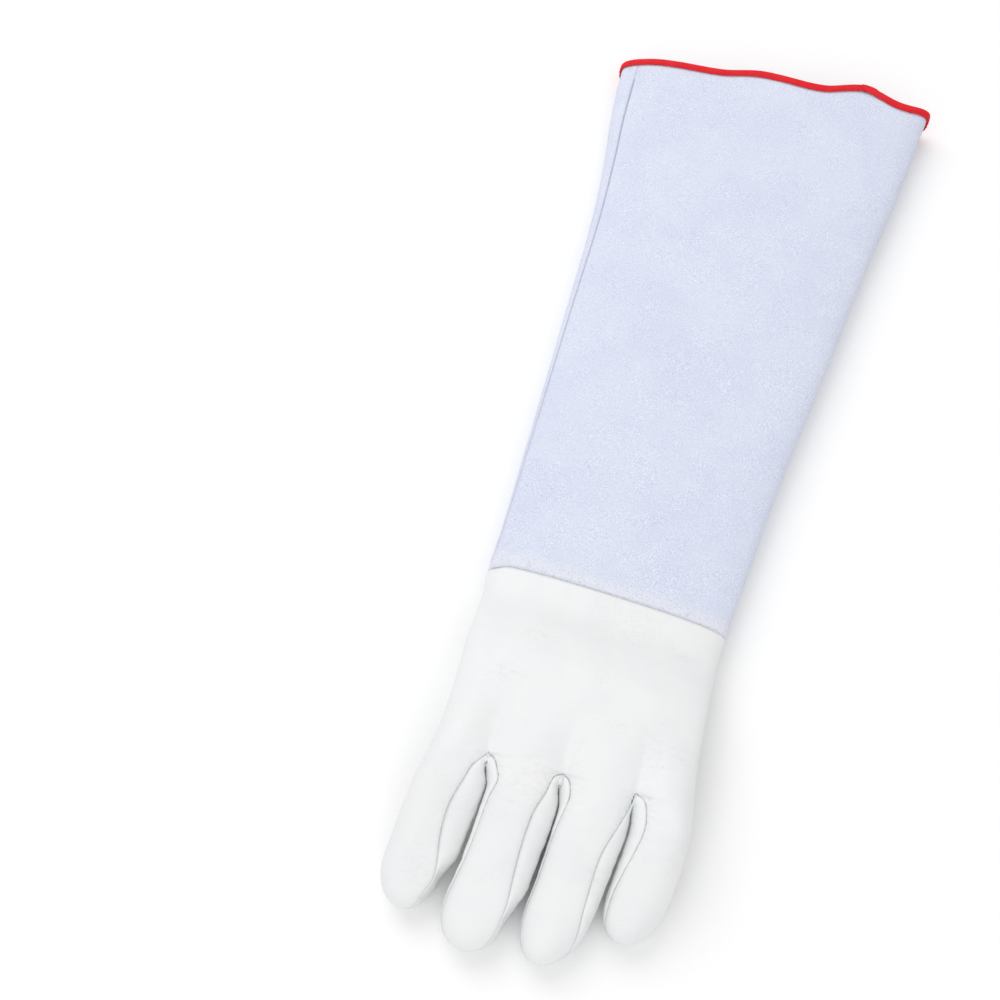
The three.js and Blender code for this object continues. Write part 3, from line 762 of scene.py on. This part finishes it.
@dataclass(frozen=True)
class Suede:
    """Pale blue-grey split leather with a short, uneven nap."""

    base: Triple = (0.615, 0.658, 0.81)
    dark: Triple = (0.50, 0.545, 0.69)
    pale: Triple = (0.68, 0.715, 0.84)
    fibre: Triple = (0.84, 0.87, 0.97)
    worn: Triple = (0.77, 0.785, 0.84)
    pit: Triple = (0.50, 0.53, 0.63)
    # Painted shade: the blue-grey that the suede is darkened towards in its seams' grooves.
    seam: Triple = (0.48, 0.51, 0.62)
    roughness: float = 0.95

    def material(self, name: str) -> Material:
        """Build the suede's node tree."""
        n = Nodes(name)
        clouds = n.noise(26, 4, 0.6, None, 0.4).stepped(0.36, 0.66)
        patches = n.noise(60, 4, 0.65).stepped(0.34, 0.7)
        flecks = n.noise(1000, 2, 0.8).stepped(0.46, 0.58)
        fibres = n.noise(1500, 2, 0.75, n.stretched((1.0, 0.7, 1.0), 0.5)).stepped(0.48, 0.6)
        colour = n.mixed(clouds * 0.7, self.pale, self.base)
        colour = n.mixed(flecks * (patches * 0.4 + 0.15), colour, self.dark)
        colour = n.mixed(fibres * (patches * 0.4 + 0.4), colour, self.fibre)
        worn = n.attribute("worn")
        colour = n.mixed(worn * 0.7, colour, self.worn)
        pits = n.noise(1000, 2, 0.6).stepped(0.57, 0.66) * (worn * 0.6 + 0.1)
        colour = n.mixed(pits, colour, self.pit)
        # Painted shade: darker along the wrist seam and the long slit seam, where the grooves are
        # shaded.
        seam = n.attribute("seam")
        colour = n.mixed(seam.stepped(0.3, 1.0) * 0.4, colour, self.seam)
        nap = n.noise(1600, 4, 0.72) * 0.7 + n.noise(420, 3, 0.6) * 0.3
        normal = n.bumped(nap, 0.00045, 0.7)
        return n.finish(Base_Color=colour, Roughness=self.roughness, Normal=normal,
                        Specular_IOR_Level=0.12, Sheen_Weight=0.06, Sheen_Roughness=0.5)


@dataclass(frozen=True)
class BindingTape:
    """Red tape with a fine cross rib."""

    base: Triple = (0.80, 0.016, 0.026)
    dark: Triple = (0.48, 0.012, 0.02)
    cloud: Triple = (0.82, 0.045, 0.06)
    seam: Triple = (0.13, 0.005, 0.008)

    def material(self, name: str) -> Material:
        """Build the tape's node tree; its rib follows the piece's own UV map."""
        n = Nodes(name)
        uv = n.node("ShaderNodeUVMap", {"uv_map": "tape"}, {})
        along = n.node("ShaderNodeSeparateXYZ", {}, [uv], "X")
        rib = (n.node("ShaderNodeMath", {"operation": "SINE"}, [along * 6.28318]) + 1) * 0.5
        fuzz = n.noise(1800, 3, 0.65)
        clouds = n.noise(120, 3, 0.6).stepped(0.4, 0.65)
        colour = n.mixed(rib * 0.25 + fuzz * 0.2, self.dark, self.base)
        colour = n.mixed(0.72, colour, self.base)
        colour = n.mixed(clouds * 0.25, colour, self.cloud)
        seam = n.attribute("seam")
        colour = n.mixed(seam.stepped(0.3, 0.9) * 0.85, colour, self.seam)
        normal = n.bumped(rib * 0.6 + fuzz * 0.4, 0.0002, 0.6)
        return n.finish(Base_Color=colour, Roughness=0.82, Normal=normal,
                        Specular_IOR_Level=0.2)


@dataclass(frozen=True)
class Thread:
    """Matt sewing thread of one colour."""

    base: Triple

    def material(self, name: str) -> Material:
        """Build the thread's node tree."""
        n = Nodes(name)
        twist = n.noise(3500, 2, 0.6)
        dark = tuple(c * 0.6 for c in self.base)
        colour = n.mixed(twist, dark, self.base)
        return n.finish(Base_Color=colour, Roughness=0.75, Normal=n.bumped(twist, 0.0001, 0.6))


def placed(name: str, data: bpy.types.ID) -> Piece:
    """Put a mesh, light or camera into the scene as an object."""
    made = bpy.data.objects.new(name, data)
    bpy.context.scene.collection.objects.link(made)
    return made


class Skin:
    """A sewn sheet's outside, laid out from grids in the glove's frame."""

    def __init__(self, shift: Vector) -> None:
        """Start with no surface, and keep the glove's origin in the row's frame, in metres."""
        self.bm = bmesh.new()
        self.shift = shift

    def grid(self, columns: int, rows: int, at: Callable[[float, float], Vector]) -> None:
        """Add a grid whose points are set by two shares.

        Args:
            columns: Faces across.
            rows: Faces along.
            at: The point for a share across and a share along, in millimetres.
        """
        made = bmesh.ops.create_grid(self.bm, x_segments=columns, y_segments=rows, size=1.0)
        for vert in made["verts"]:
            u, v = (vert.co.x + 1) / 2, (vert.co.y + 1) / 2
            vert.co = at(u, v)

    def weld(self, distance: float = 0.01) -> None:
        """Merge doubled points and turn all faces one way."""
        bmesh.ops.remove_doubles(self.bm, verts=self.bm.verts, dist=distance)
        bmesh.ops.dissolve_degenerate(self.bm, edges=self.bm.edges, dist=0.001)
        bmesh.ops.recalc_face_normals(self.bm, faces=self.bm.faces)

    def face_out(self, centre: Callable[[Vector], Vector]) -> None:
        """Turn the sheet so that it faces away from a point given for each place."""
        score = 0.0
        for face in self.bm.faces:
            here = face.calc_center_median()
            score += face.normal.dot((here - centre(here)).normalized()) * face.calc_area()
        if score < 0:
            bmesh.ops.reverse_faces(self.bm, faces=self.bm.faces)
        self.bm.normal_update()

    def smooth(self, times: int) -> None:
        """Even out the inner points."""
        verts = [v for v in self.bm.verts if not v.is_boundary]
        for _ in range(times):
            bmesh.ops.smooth_vert(self.bm, verts=verts, factor=0.5,
                                  use_axis_x=True, use_axis_y=True, use_axis_z=True)

    def lift(self, height: Callable[[Vert], float]) -> None:
        """Move each point along its normal by a height in millimetres."""
        self.move(lambda v: v.normal * height(v))

    def move(self, by: Callable[[Vert], Vector]) -> None:
        """Move each point by a vector in millimetres."""
        self.bm.normal_update()
        moves = [(v, by(v)) for v in self.bm.verts]
        for vert, move in moves:
            vert.co += move
        self.bm.normal_update()

    def rest_on(self, floor: float) -> None:
        """Keep every point at or above a height in millimetres."""
        for vert in self.bm.verts:
            vert.co.z = max(vert.co.z, floor)

    def boundary(self) -> list[Vert]:
        """The points on the sheet's free edges."""
        return [v for v in self.bm.verts if v.is_boundary]

    def seam_distance(self, use: Callable[[Vector], bool]) -> dict[int, float]:
        """Distance of every point to the nearest free edge that ``use`` accepts."""
        edges = [v.co.copy() for v in self.boundary() if use(v.co)]
        tree = kdtree.KDTree(len(edges))
        for n, co in enumerate(edges):
            tree.insert(co, n)
        tree.balance()
        self.bm.verts.index_update()
        return {v.index: tree.find(v.co)[2] for v in self.bm.verts}

    def mark(self, name: str, value: Callable[[Vert], float]) -> None:
        """Store a number on every point for the materials."""
        layer = self.bm.verts.layers.float.get(name) or self.bm.verts.layers.float.new(name)
        for vert in self.bm.verts:
            vert[layer] = value(vert)

    def piece(self, name: str, wall: float, material: Material, slot: Slot,
              node: str = "") -> Piece:
        """Make the finished object and tie it to the frame.

        Args:
            name: The piece's name.
            wall: Thickness given inwards, in millimetres; 0 leaves the skin as it is.
            material: What it is made of.
            slot: Its material slot in the record; not used.
            node: The CAD node that it replaces, if any.

        Returns:
            The object, in the row's frame.
        """
        place = Matrix.Translation(self.shift) @ Matrix.Scale(MM, 4)
        bmesh.ops.transform(self.bm, matrix=place, verts=self.bm.verts)
        mesh = bpy.data.meshes.new(name)
        self.bm.to_mesh(mesh)
        self.bm.free()
        mesh.shade_smooth()
        mesh.materials.append(material)
        made = placed(name, mesh)
        if wall:
            thick = made.modifiers.new("wall", "SOLIDIFY")
            thick.thickness = wall * MM
            thick.offset = -1.0
        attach(made, "root")
        if node:
            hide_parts(node)
        LOG.info("built %s", made.name)
        return made


def blended(t: float) -> float:
    """Spread points over -1 to 1, somewhat denser at both ends."""
    return 0.5 * -math.cos(t * math.pi) + 0.5 * (2 * t - 1)


def fold_depth(folds: Sequence[Fold], x: float, y: float) -> float:
    """Height that the folds give at a place in plan; a positive depth sinks it."""
    total = 0.0
    for fold in folds:
        along = Vector((fold.x1 - fold.x0, fold.y1 - fold.y0))
        here = Vector((x - fold.x0, y - fold.y0))
        t = clamp(here.dot(along) / max(along.length_squared, 1e-6))
        off = (here - along * t).length
        if off < 3 * fold.width:
            fade = smoothstep(min(t, 1 - t), -0.02, 0.25)
            total -= fold.depth * fade * bell(off, 0, fold.width)
    return total


@dataclass
class Hand:
    """The hand: back and palm panels, the forks between the fingers and the thumb."""

    shift: Vector
    leather: Material
    pattern: Pattern = PATTERN
    wall: float = 1.8
    strip_wall: float = 1.2
    thumb_wall: float = 1.5
    roll: float = 0.18
    roll_width: float = 1.5
    strip_roll_width: float = 1.2
    # Width of the painted shade along the panels' seams, in millimetres.
    seam_shade_width: float = 0.9
    crease: float = 1.5
    pucker: float = 0.15
    pucker_pitch: float = 3.4
    crotch_at: float = 112.0
    crotch_spread: float = 26.0
    swell: float = 0.55
    grain_swell: float = 0.16
    strip_swell: float = 0.3
    thumb_swell: float = 0.35
    strip_grid: tuple[int, int] = (22, 150)
    thumb_grid: tuple[int, int] = (56, 110)
    folds: tuple[Fold, ...] = rows_of(
        Fold,
        (-47.2, -111.9, -37.3, -109.1, 1.1, 0.2), (-25.0, -111.6, 6.7, -101.5, 1.2, 0.23),
        (-21.9, -113.8, -4.4, -106.9, 1.0, 0.16), (-24.0, -116.4, -12.4, -112.9, 0.9, 0.13),
        (-19.6, -127.4, -10.4, -119.9, 1.2, 0.23), (15.9, -123.5, 24.0, -120.7, 1.0, 0.2),
        (-31.2, -109.0, -31.3, -99.9, 1.0, 0.26), (-31.8, -109.0, -35.3, -101.5, 0.9, 0.2),
        (-30.8, -109.0, -26.3, -102.5, 0.9, 0.2), (8.0, -107.0, 8.4, -99.0, 0.9, 0.2),
        (9.0, -107.5, 13.0, -101.5, 0.9, 0.2), (48.5, -105.0, 48.6, -97.0, 0.9, 0.2),
        (47.5, -105.5, 44.0, -99.5, 0.8, 0.16), (-18.1, -155.5, -11.6, -174.4, 1.4, 0.2),
        (-58.0, -118.0, -44.0, -122.0, 1.6, 0.16), (22.0, -135.0, 37.0, -131.0, 1.6, 0.16),
        (56.0, -120.0, 72.0, -116.0, 1.6, 0.16)
    )

    def across(self, index: int, t: float) -> float:
        """The place across a strip for a share of its columns."""
        if (index == 0 and t < 0.5) or (index == 3 and t > 0.5):
            return -math.cos(t * math.pi)
        return blended(t)

    def middle_point(self, here: Vector) -> Vector:
        """A point inside the hand below or above a place on it."""
        return Vector((here.x, here.y, self.pattern.bulk(clamp(-here.y, 0, 200), 1)[1]))

    def panel(self, face: Face, name: str, fineness: int, columns: int) -> Piece:
        """Build the back or palm panel.

        Args:
            face: Back or palm.
            name: The piece's short name; its node's is this with ``_panel``.
            fineness: Mesh rows to one row of the pattern.
            columns: Mesh columns to one finger's strip.

        Returns:
            The dressed panel.
        """
        p = self.pattern
        skin = Skin(self.shift)
        for index in range(len(p.fingers)):
            skin.grid(columns, p.tip_row * fineness, lambda u, v, i=index: p.hand_point(
                i, v * p.tip_row, self.across(i, u), face))
        skin.weld()
        skin.face_out(self.middle_point)
        skin.smooth(8)
        back = face is Face.BACK
        seams = skin.seam_distance(lambda co: True)

        def rolled(vert: Vert) -> Vector:
            """How far the leather turns in at its seams: straight down beside a fork."""
            near = seams[vert.index]
            if near > self.roll_width:
                return Vector()
            half, middle = p.bulk(-vert.co.y, p.finger_at(vert.co.x, -vert.co.y))
            upright = smoothstep(abs(vert.co.z - middle) / half, 0.1, 0.4)
            upright *= smoothstep(-vert.co.y, 60, 90)
            way = vert.normal.lerp(Vector((0, 0, face.value)), upright)
            turned = self.roll * p.sewn(vert.co.x, -vert.co.y)
            return way * -turned * (1 - near / self.roll_width) ** 2

        def surface(vert: Vert) -> float:
            """Height of the leather over the plain form."""
            co = vert.co
            near = seams[vert.index]
            crotch = bell(co.y, -self.crotch_at, self.crotch_spread)
            wave = ripple(co.x * 0.33, co.y * 0.33, 3.0)
            gather = math.sin(2 * math.pi * (co.y + 0.6 * co.x) / self.pucker_pitch + 5 * wave)
            gather *= self.pucker * bell(near, 2.0, 3.2) * (0.35 + crotch)
            broad = self.swell * ripple(co.x / 21, co.y / 30, 7.0)
            fine = self.grain_swell * ripple(co.x / 6, co.y / 8, 1.0)
            calm = clamp(near / 6)
            height = gather + (broad + fine * (0.3 + crotch)) * calm
            return height + (self.crease * fold_depth(self.folds, co.x, co.y) if back else 0.0)

        skin.lift(surface)
        skin.move(rolled)
        skin.move(p.wrist_hook)
        # Painted shade: the leather is greyed within seam_shade_width of each seam, less where a
        # fork has thinned out.
        skin.mark("seam", lambda v: clamp(1 - seams[v.index] / self.seam_shade_width)
                  * p.sewn(v.co.x, -v.co.y))
        return skin.piece(f"{name}_leather", self.wall, self.leather, Slot.GRAIN, f"{name}_panel")

    def fork(self, gap: int) -> Piece:
        """Build the strip between two fingers, from one fingertip round the web to the next."""
        p = self.pattern

        def end_row(index: int, side: Side) -> float:
            """Row at which the strip runs out to a point."""
            near, far = float(p.straight_row), float(p.tip_row)
            for _ in range(24):
                row = (near + far) / 2
                edge = p.edge(index, side, row)
                near, far = (row, far) if abs(edge.wall_x - edge.x) > 0.02 else (near, row)
            return near

        def at(u: float, v: float) -> Vector:
            """A point across (u) and along (v) the strip."""
            s = 2 * v - 1
            index, side = (gap - 1, Side.LITTLE) if s < 0 else (gap, Side.INDEX)
            row = lerp(p.palm_rows, end_row(index, side) - 0.001, abs(s))
            edge = p.edge(index, side, row)
            half, middle = p.bulk(edge.reach, index)
            tall = max(0.02, edge.height * half * edge.cap + 0.05)
            angle = (u - 0.5) * math.pi
            bulge = Vector((edge.wall_x - edge.x, edge.wall_reach - edge.reach))
            depth = math.cos(angle) ** 0.85
            x, reach = edge.x + bulge.x * depth, edge.reach + bulge.y * depth
            return Vector((x, -reach, middle + tall * math.sin(angle)))

        skin = Skin(self.shift)
        skin.grid(*self.strip_grid, at)
        skin.weld(0.004)
        line = p.finger_line(gap, 150)
        skin.face_out(lambda here: Vector((
            here.x + (25 if here.x > line else -25), here.y, here.z)))
        skin.smooth(2)
        seams = skin.seam_distance(lambda co: True)

        def rolled(vert: Vert) -> Vector:
            """How far the strip turns in at its seams, level with the panels' edges."""
            near = self.roll * clamp(1 - seams[vert.index] / self.strip_roll_width) ** 2
            index = gap if vert.co.x > p.finger_line(gap, -vert.co.y) else gap - 1
            near *= p.sewn(vert.co.x, -vert.co.y)
            upper = vert.co.z > p.bulk(-vert.co.y, index)[1]
            return Vector((0, 0, -near if upper else near)) - vert.normal * 0.25 * near

        def surface(vert: Vert) -> float:
            """Height of the strip's leather over the plain form."""
            co = vert.co
            wrinkle = ripple(co.x / 5, co.y / 4, co.z / 5 + gap * 9)
            return self.strip_swell * wrinkle * clamp(seams[vert.index] / 3)

        skin.lift(surface)
        skin.move(rolled)
        # Painted shade along the strip's edges, where it meets the panels.
        skin.mark("seam", lambda v: clamp(1 - seams[v.index] / 1.0))
        names = [p.fingers[gap - 1].name, p.fingers[gap].name]
        name = f"fork_{names[0]}_{names[1]}"
        return skin.piece(f"{name}_strip", self.strip_wall, self.leather, Slot.GRAIN, name)

    def thumb(self) -> Piece:
        """Build the thumb that lies folded under the palm."""
        p = self.pattern
        skin = Skin(self.shift)
        skin.grid(*self.thumb_grid,
                  lambda u, v: p.thumb_point(lerp(0.1, 1, v), u * 2 * math.pi))
        skin.weld()
        tips = [v for v in skin.boundary() if v.co.z < p.thumb_thickness * 0.8]
        rim = {edge for vert in tips for edge in vert.link_edges if edge.is_boundary}
        bmesh.ops.contextual_create(skin.bm, geom=list(rim))
        bmesh.ops.recalc_face_normals(skin.bm, faces=skin.bm.faces)
        start = p.thumb_point(0.5, 0)
        skin.face_out(lambda here: Vector((lerp(here.x, start.x, 0.3), here.y, 8)))
        skin.smooth(3)
        skin.lift(lambda v: self.thumb_swell * ripple(v.co.x / 9, v.co.y / 11, v.co.z / 9)
                  * clamp(v.co.z / 3))
        # Painted shade in a line along the middle of the thumb's sides, where its seam runs.
        skin.mark("seam", lambda v: clamp(1 - abs(v.co.z - p.thumb_thickness * 0.5) / 0.7)
                  * (1.0 if abs(v.normal.z) < 0.5 else 0.0))
        return skin.piece("thumb_leather", self.thumb_wall, self.leather, Slot.GRAIN, "thumb")

    def build(self) -> None:
        """Build every piece of the hand."""
        self.panel(Face.BACK, "back", fineness=9, columns=28)
        self.panel(Face.PALM, "palm", fineness=5, columns=18)
        for gap in range(1, len(self.pattern.fingers)):
            self.fork(gap)
        self.thumb()


@dataclass
class Cuff:
    """The suede wrap and the red tape that binds its mouth."""

    shift: Vector
    suede: Material
    tape: Material
    thread: Material
    pattern: Pattern = PATTERN
    wall: float = 2.0
    wrap_grid: tuple[int, int] = (190, 150)
    band: float = 7.5
    sinking: float = 0.5
    ridge: Ridge = Ridge(4.2, 2.6, 0.35)
    slit_ridge: Ridge = Ridge(3.4, 2.2, 0.5)
    hollow: Ridge = Ridge(9.0, 1.8, -0.25)
    gather: float = 0.16
    gather_pitch: float = 3.6
    swell: float = 0.9
    nap_swell: float = 0.22
    tape_wall: float = 0.7
    tape_trim: float = 1.2
    tape_columns: int = 420
    rib_pitch: float = 1.1
    lap_share: float = 0.53
    lap_rise: float = 0.55
    stitch_pitch: float = 3.0
    stitch_inset: float = 2.6
    stitch_shape: Triple = (1.0, 0.22, 0.2)
    folds: tuple[Fold, ...] = rows_of(
        Fold,
        (-92.0, 371.0, -70.0, 373.0, 3.0, 0.8), (-86.0, 347.4, -40.0, 351.0, 2.6, 0.7),
        (-65.0, 371.6, 0.0, 384.0, 3.0, 0.8), (-83.0, 337.0, -45.0, 341.0, 2.4, 0.7),
        (-65.0, 326.0, -35.0, 328.0, 2.4, 0.6), (-64.0, 15.0, -49.0, 50.0, 5.0, 0.9),
        (-70.0, -1.0, -58.0, 4.0, 5.0, 1.6), (10.0, 372.0, 60.0, 380.0, 6.0, 0.7),
        (30.0, 40.0, 52.0, 90.0, 9.0, 0.7), (-10.0, 120.0, 30.0, 160.0, 12.0, 0.6)
    )

    def wrap(self) -> Piece:
        """Build the suede wrap, open along its seam on the index side."""
        p = self.pattern
        slit = 0.02 / p.wrist_width

        def at(u: float, v: float) -> Vector:
            """A point round (u) and along (v) the wrap."""
            turn = lerp(slit, 1 - slit, u) * 2 * math.pi
            return p.cuff_point(v, p.seam_angle(v) + turn)

        skin = Skin(self.shift)
        skin.grid(*self.wrap_grid, at)
        skin.weld(0.005)
        skin.face_out(lambda here: Vector((here.x * 0.6, here.y, 15)))
        wrist = skin.seam_distance(lambda co: co.y < 5)
        slits = skin.seam_distance(lambda co: 5 < co.y < p.cuff_length * 0.94)
        mouth = p.cuff_length * 0.95

        def surface(vert: Vert) -> float:
            """Height of the suede over the plain form."""
            co = vert.co
            end, side = wrist[vert.index], slits[vert.index]
            sunk = -self.sinking * (clamp(1 - end / 1.6) ** 2 + clamp(1 - side / 2.4) ** 2)
            ridge = self.ridge.at(end) + self.slit_ridge.at(side) + self.hollow.at(end)
            wave = ripple(co.x / 9, co.y / 9, 2.0)
            gather = self.gather * math.sin(2 * math.pi * co.x / self.gather_pitch + 4 * wave)
            gather *= bell(end, 3.5, 4.0)
            top = smoothstep(co.z, 3, 9)
            calm = clamp(min(end, side) / 12) * smoothstep(mouth - co.y, -2, 10)
            broad = self.swell * ripple(co.x / 48, co.y / 60, 5.0 + co.z / 40)
            fine = self.nap_swell * ripple(co.x / 11, co.y / 13, 9.0)
            folds = fold_depth(self.folds, co.x, co.y) if co.z > 15 else 0.0
            return sunk + ridge + gather + (broad + fine) * calm * top + folds

        skin.lift(surface)
        skin.move(p.wrist_hook)
        skin.rest_on(0.0)
        # Painted shade: marked at half strength along the wrist seam and at full strength along the
        # long slit seam.
        skin.mark("seam", lambda v: max(0.5 * clamp(1 - wrist[v.index] / 0.8),
                                        clamp(1 - slits[v.index] / 2.0)))
        skin.mark("worn", lambda v: 1 - smoothstep(
            wrist[v.index] + 2.2 * ripple(v.co.x / 7, v.co.y / 7, 0),
            self.band - 4, self.band + 5))
        return skin.piece("cuff_suede", self.wall, self.suede, Slot.SUEDE, "cuff")

    def tape_profile(self) -> list[tuple[float, float]]:
        """The tape's section: distance off the cuff's outside and beyond its edge, in order."""
        p = self.pattern
        out, inside = p.seam_gap + p.binding, -p.suede - p.seam_gap - p.binding
        middle = (out + inside) / 2
        radius = (out - inside) / 2
        top = self.tape_trim - p.binding_width
        points = [(out - 0.45, top), (out, top + 0.7), (out + 0.15, top * 0.5)]
        for n in range(9):
            angle = math.pi * n / 8
            points.append((middle + radius * math.cos(angle), 1.5 * math.sin(angle) ** 0.8 - 0.2))
        points += [(inside - 0.1, -p.binding_width * 0.5), (inside, -p.binding_width + 0.6),
                   (inside + 0.5, -p.binding_width)]
        return points

    def binding(self) -> Piece:
        """Build the tape, folded over the mouth's edge, with its lapped join."""
        p = self.pattern
        profile = self.tape_profile()
        lap_angle = self.angle_at(self.lap_share)

        def at(u: float, v: float) -> Vector:
            """A point across the tape (u) and round the mouth (v)."""
            k = u * (len(profile) - 1)
            n = min(int(k), len(profile) - 2)
            out = lerp(profile[n][0], profile[n + 1][0], k - n)
            reach = lerp(profile[n][1], profile[n + 1][1], k - n)
            angle = v * 2 * math.pi
            off = (angle - lap_angle) * p.mouth_width / 2.6
            lap = smoothstep(off, -0.5, 0.3) * (1 - smoothstep(off, 9.0, 13.0))
            sign = 1 if out > -p.suede / 2 else -1
            wave = ripple(math.cos(angle) * 9, math.sin(angle) * 9, 4.0)
            out += sign * (self.lap_rise * lap + 0.12 * wave)
            edge = clamp(-reach / p.binding_width)
            reach += 0.35 * wave * edge + 0.25 * lap
            along = 1 + min(0.0, reach) / p.cuff_length
            point = p.cuff_point(along, angle, out)
            return point + Vector((0, max(0.0, reach), 0))

        skin = Skin(self.shift)
        skin.grid(len(profile) * 2 - 2, self.tape_columns, at)
        uv = skin.bm.loops.layers.uv.new("tape")
        for face in skin.bm.faces:
            for loop in face.loops:
                co = loop.vert.co
                loop[uv].uv = (co.x / self.rib_pitch, co.y / self.rib_pitch)
        skin.weld(0.01)
        skin.face_out(lambda here: Vector((here.x * 0.98, here.y - 3, lerp(here.z, 16, 0.12))))
        lap_x = p.cuff_point(1, lap_angle).x
        skin.mark("seam", lambda v: clamp(1 - abs(v.co.x - lap_x + (v.co.y - 408) * 1.1) / 1.6)
                  if v.co.z > 20 else 0.0)
        skin.rest_on(0.05)
        return skin.piece("binding_tape", self.tape_wall, self.tape, Slot.TAPE, "cuff_binding")

    def angle_at(self, share: float) -> float:
        """The angle on the cuff's top at a share across it."""
        return math.acos(-math.copysign(abs(share) ** (self.pattern.top_roundness / 2), share))

    def stitches(self) -> Piece:
        """Build the row of stitches that holds the tape, near its lower edge."""
        p = self.pattern
        out = p.seam_gap + p.binding + 0.16
        along = 1 - (p.binding_width - self.stitch_inset) / p.cuff_length
        turns = 2000
        path = [p.cuff_point(along, 2 * math.pi * n / turns, out) for n in range(turns + 1)]
        skin = Skin(self.shift)
        stretch = Matrix.Diagonal((*self.stitch_shape, 1.0))
        walked, due = 0.0, 0.0
        for a, b in zip(path, path[1:]):
            walked += (b - a).length
            if walked < due:
                continue
            due += self.stitch_pitch
            direction = (b - a).normalized()
            turn = direction.to_track_quat("X", "Z").to_matrix().to_4x4()
            bmesh.ops.create_icosphere(skin.bm, subdivisions=1, radius=1.0,
                                       matrix=Matrix.Translation(a) @ turn @ stretch)
        return skin.piece("binding_stitches", 0, self.thread, Slot.TAPE)

    def build(self) -> None:
        """Build every piece of the cuff."""
        self.wrap()
        self.binding()
        self.stitches()


class Lamp(NamedTuple):
    """A square soft box: its place and side in metres and its power in watts."""

    name: str
    place: Triple
    size: float
    power: float


@dataclass
class Studio:
    """The camera, a plain pale floor and soft light."""

    shift: Vector
    look_at: Triple = (-79.9, 50.4, 0.0)
    elevation: float = 63.0
    azimuth: float = 18.73
    distance: float = 829.853
    lens: float = 50.0
    floor_size: float = 3.0
    floor_white: float = 0.95
    sky_strength: float = 0.66
    lamps: tuple[Lamp, ...] = rows_of(
        Lamp, ("key", (-0.9, 0.9, 1.6), 1.8, 17.0), ("fill", (0.3, -1.3, 1.5), 2.2, 13.0)
    )

    def camera(self) -> None:
        """Set the camera at the photograph's viewing angle."""
        up, turn = math.radians(self.elevation), math.radians(self.azimuth)
        back = Vector((math.sin(turn) * math.cos(up), -math.cos(turn) * math.cos(up),
                       math.sin(up)))
        data = bpy.data.cameras.new("camera")
        data.lens, data.sensor_width = self.lens, 36.0
        data.clip_start, data.clip_end = 0.01, 20.0
        made = placed("camera", data)
        made.location = Vector(self.look_at) * MM + self.shift + back * self.distance * MM
        made.rotation_euler = back.to_track_quat("Z", "Y").to_euler()
        bpy.context.scene.camera = made

    def floor(self) -> None:
        """Lay the floor."""
        bm = bmesh.new()
        bmesh.ops.create_grid(bm, x_segments=1, y_segments=1, size=self.floor_size)
        mesh = bpy.data.meshes.new("floor")
        bm.to_mesh(mesh)
        bm.free()
        made = placed("floor", mesh)
        white = self.floor_white
        mesh.materials.append(Nodes("floor").finish(
            Base_Color=(white, white, white), Roughness=0.9, Specular_IOR_Level=0.1))

    def light(self, lamp: Lamp) -> None:
        """Hang a lamp that points at the glove's middle."""
        data = bpy.data.lights.new(lamp.name, "AREA")
        data.shape, data.size, data.energy = "SQUARE", lamp.size, lamp.power
        made = placed(lamp.name, data)
        made.location = lamp.place
        made.rotation_euler = Vector(lamp.place).to_track_quat("Z", "Y").to_euler()

    def build(self) -> None:
        """Set up camera, floor and light."""
        self.camera()
        self.floor()
        for lamp in self.lamps:
            self.light(lamp)
        world = bpy.data.worlds.new("studio")
        world.use_nodes = True
        sky = world.node_tree.nodes["Background"]
        sky.inputs["Color"].default_value = (1.0, 1.0, 1.0, 1.0)
        sky.inputs["Strength"].default_value = self.sky_strength
        bpy.context.scene.world = world
        bpy.context.scene.view_settings.view_transform = "Standard"


def main() -> None:
    """Build the glove and its studio, piece by piece."""
    logging.basicConfig(level=logging.INFO, format="%(message)s")
    shift = frame_shift()
    Studio(shift).build()
    leather = GrainLeather().material("grain_leather_white")
    suede = Suede().material("suede_blue_grey")
    tape = BindingTape().material("tape_red")
    thread = Thread((0.72, 0.02, 0.03)).material("thread_red")
    Hand(shift, leather).build()
    Cuff(shift, suede, tape, thread).build()


if __name__ == "__main__":
    main()
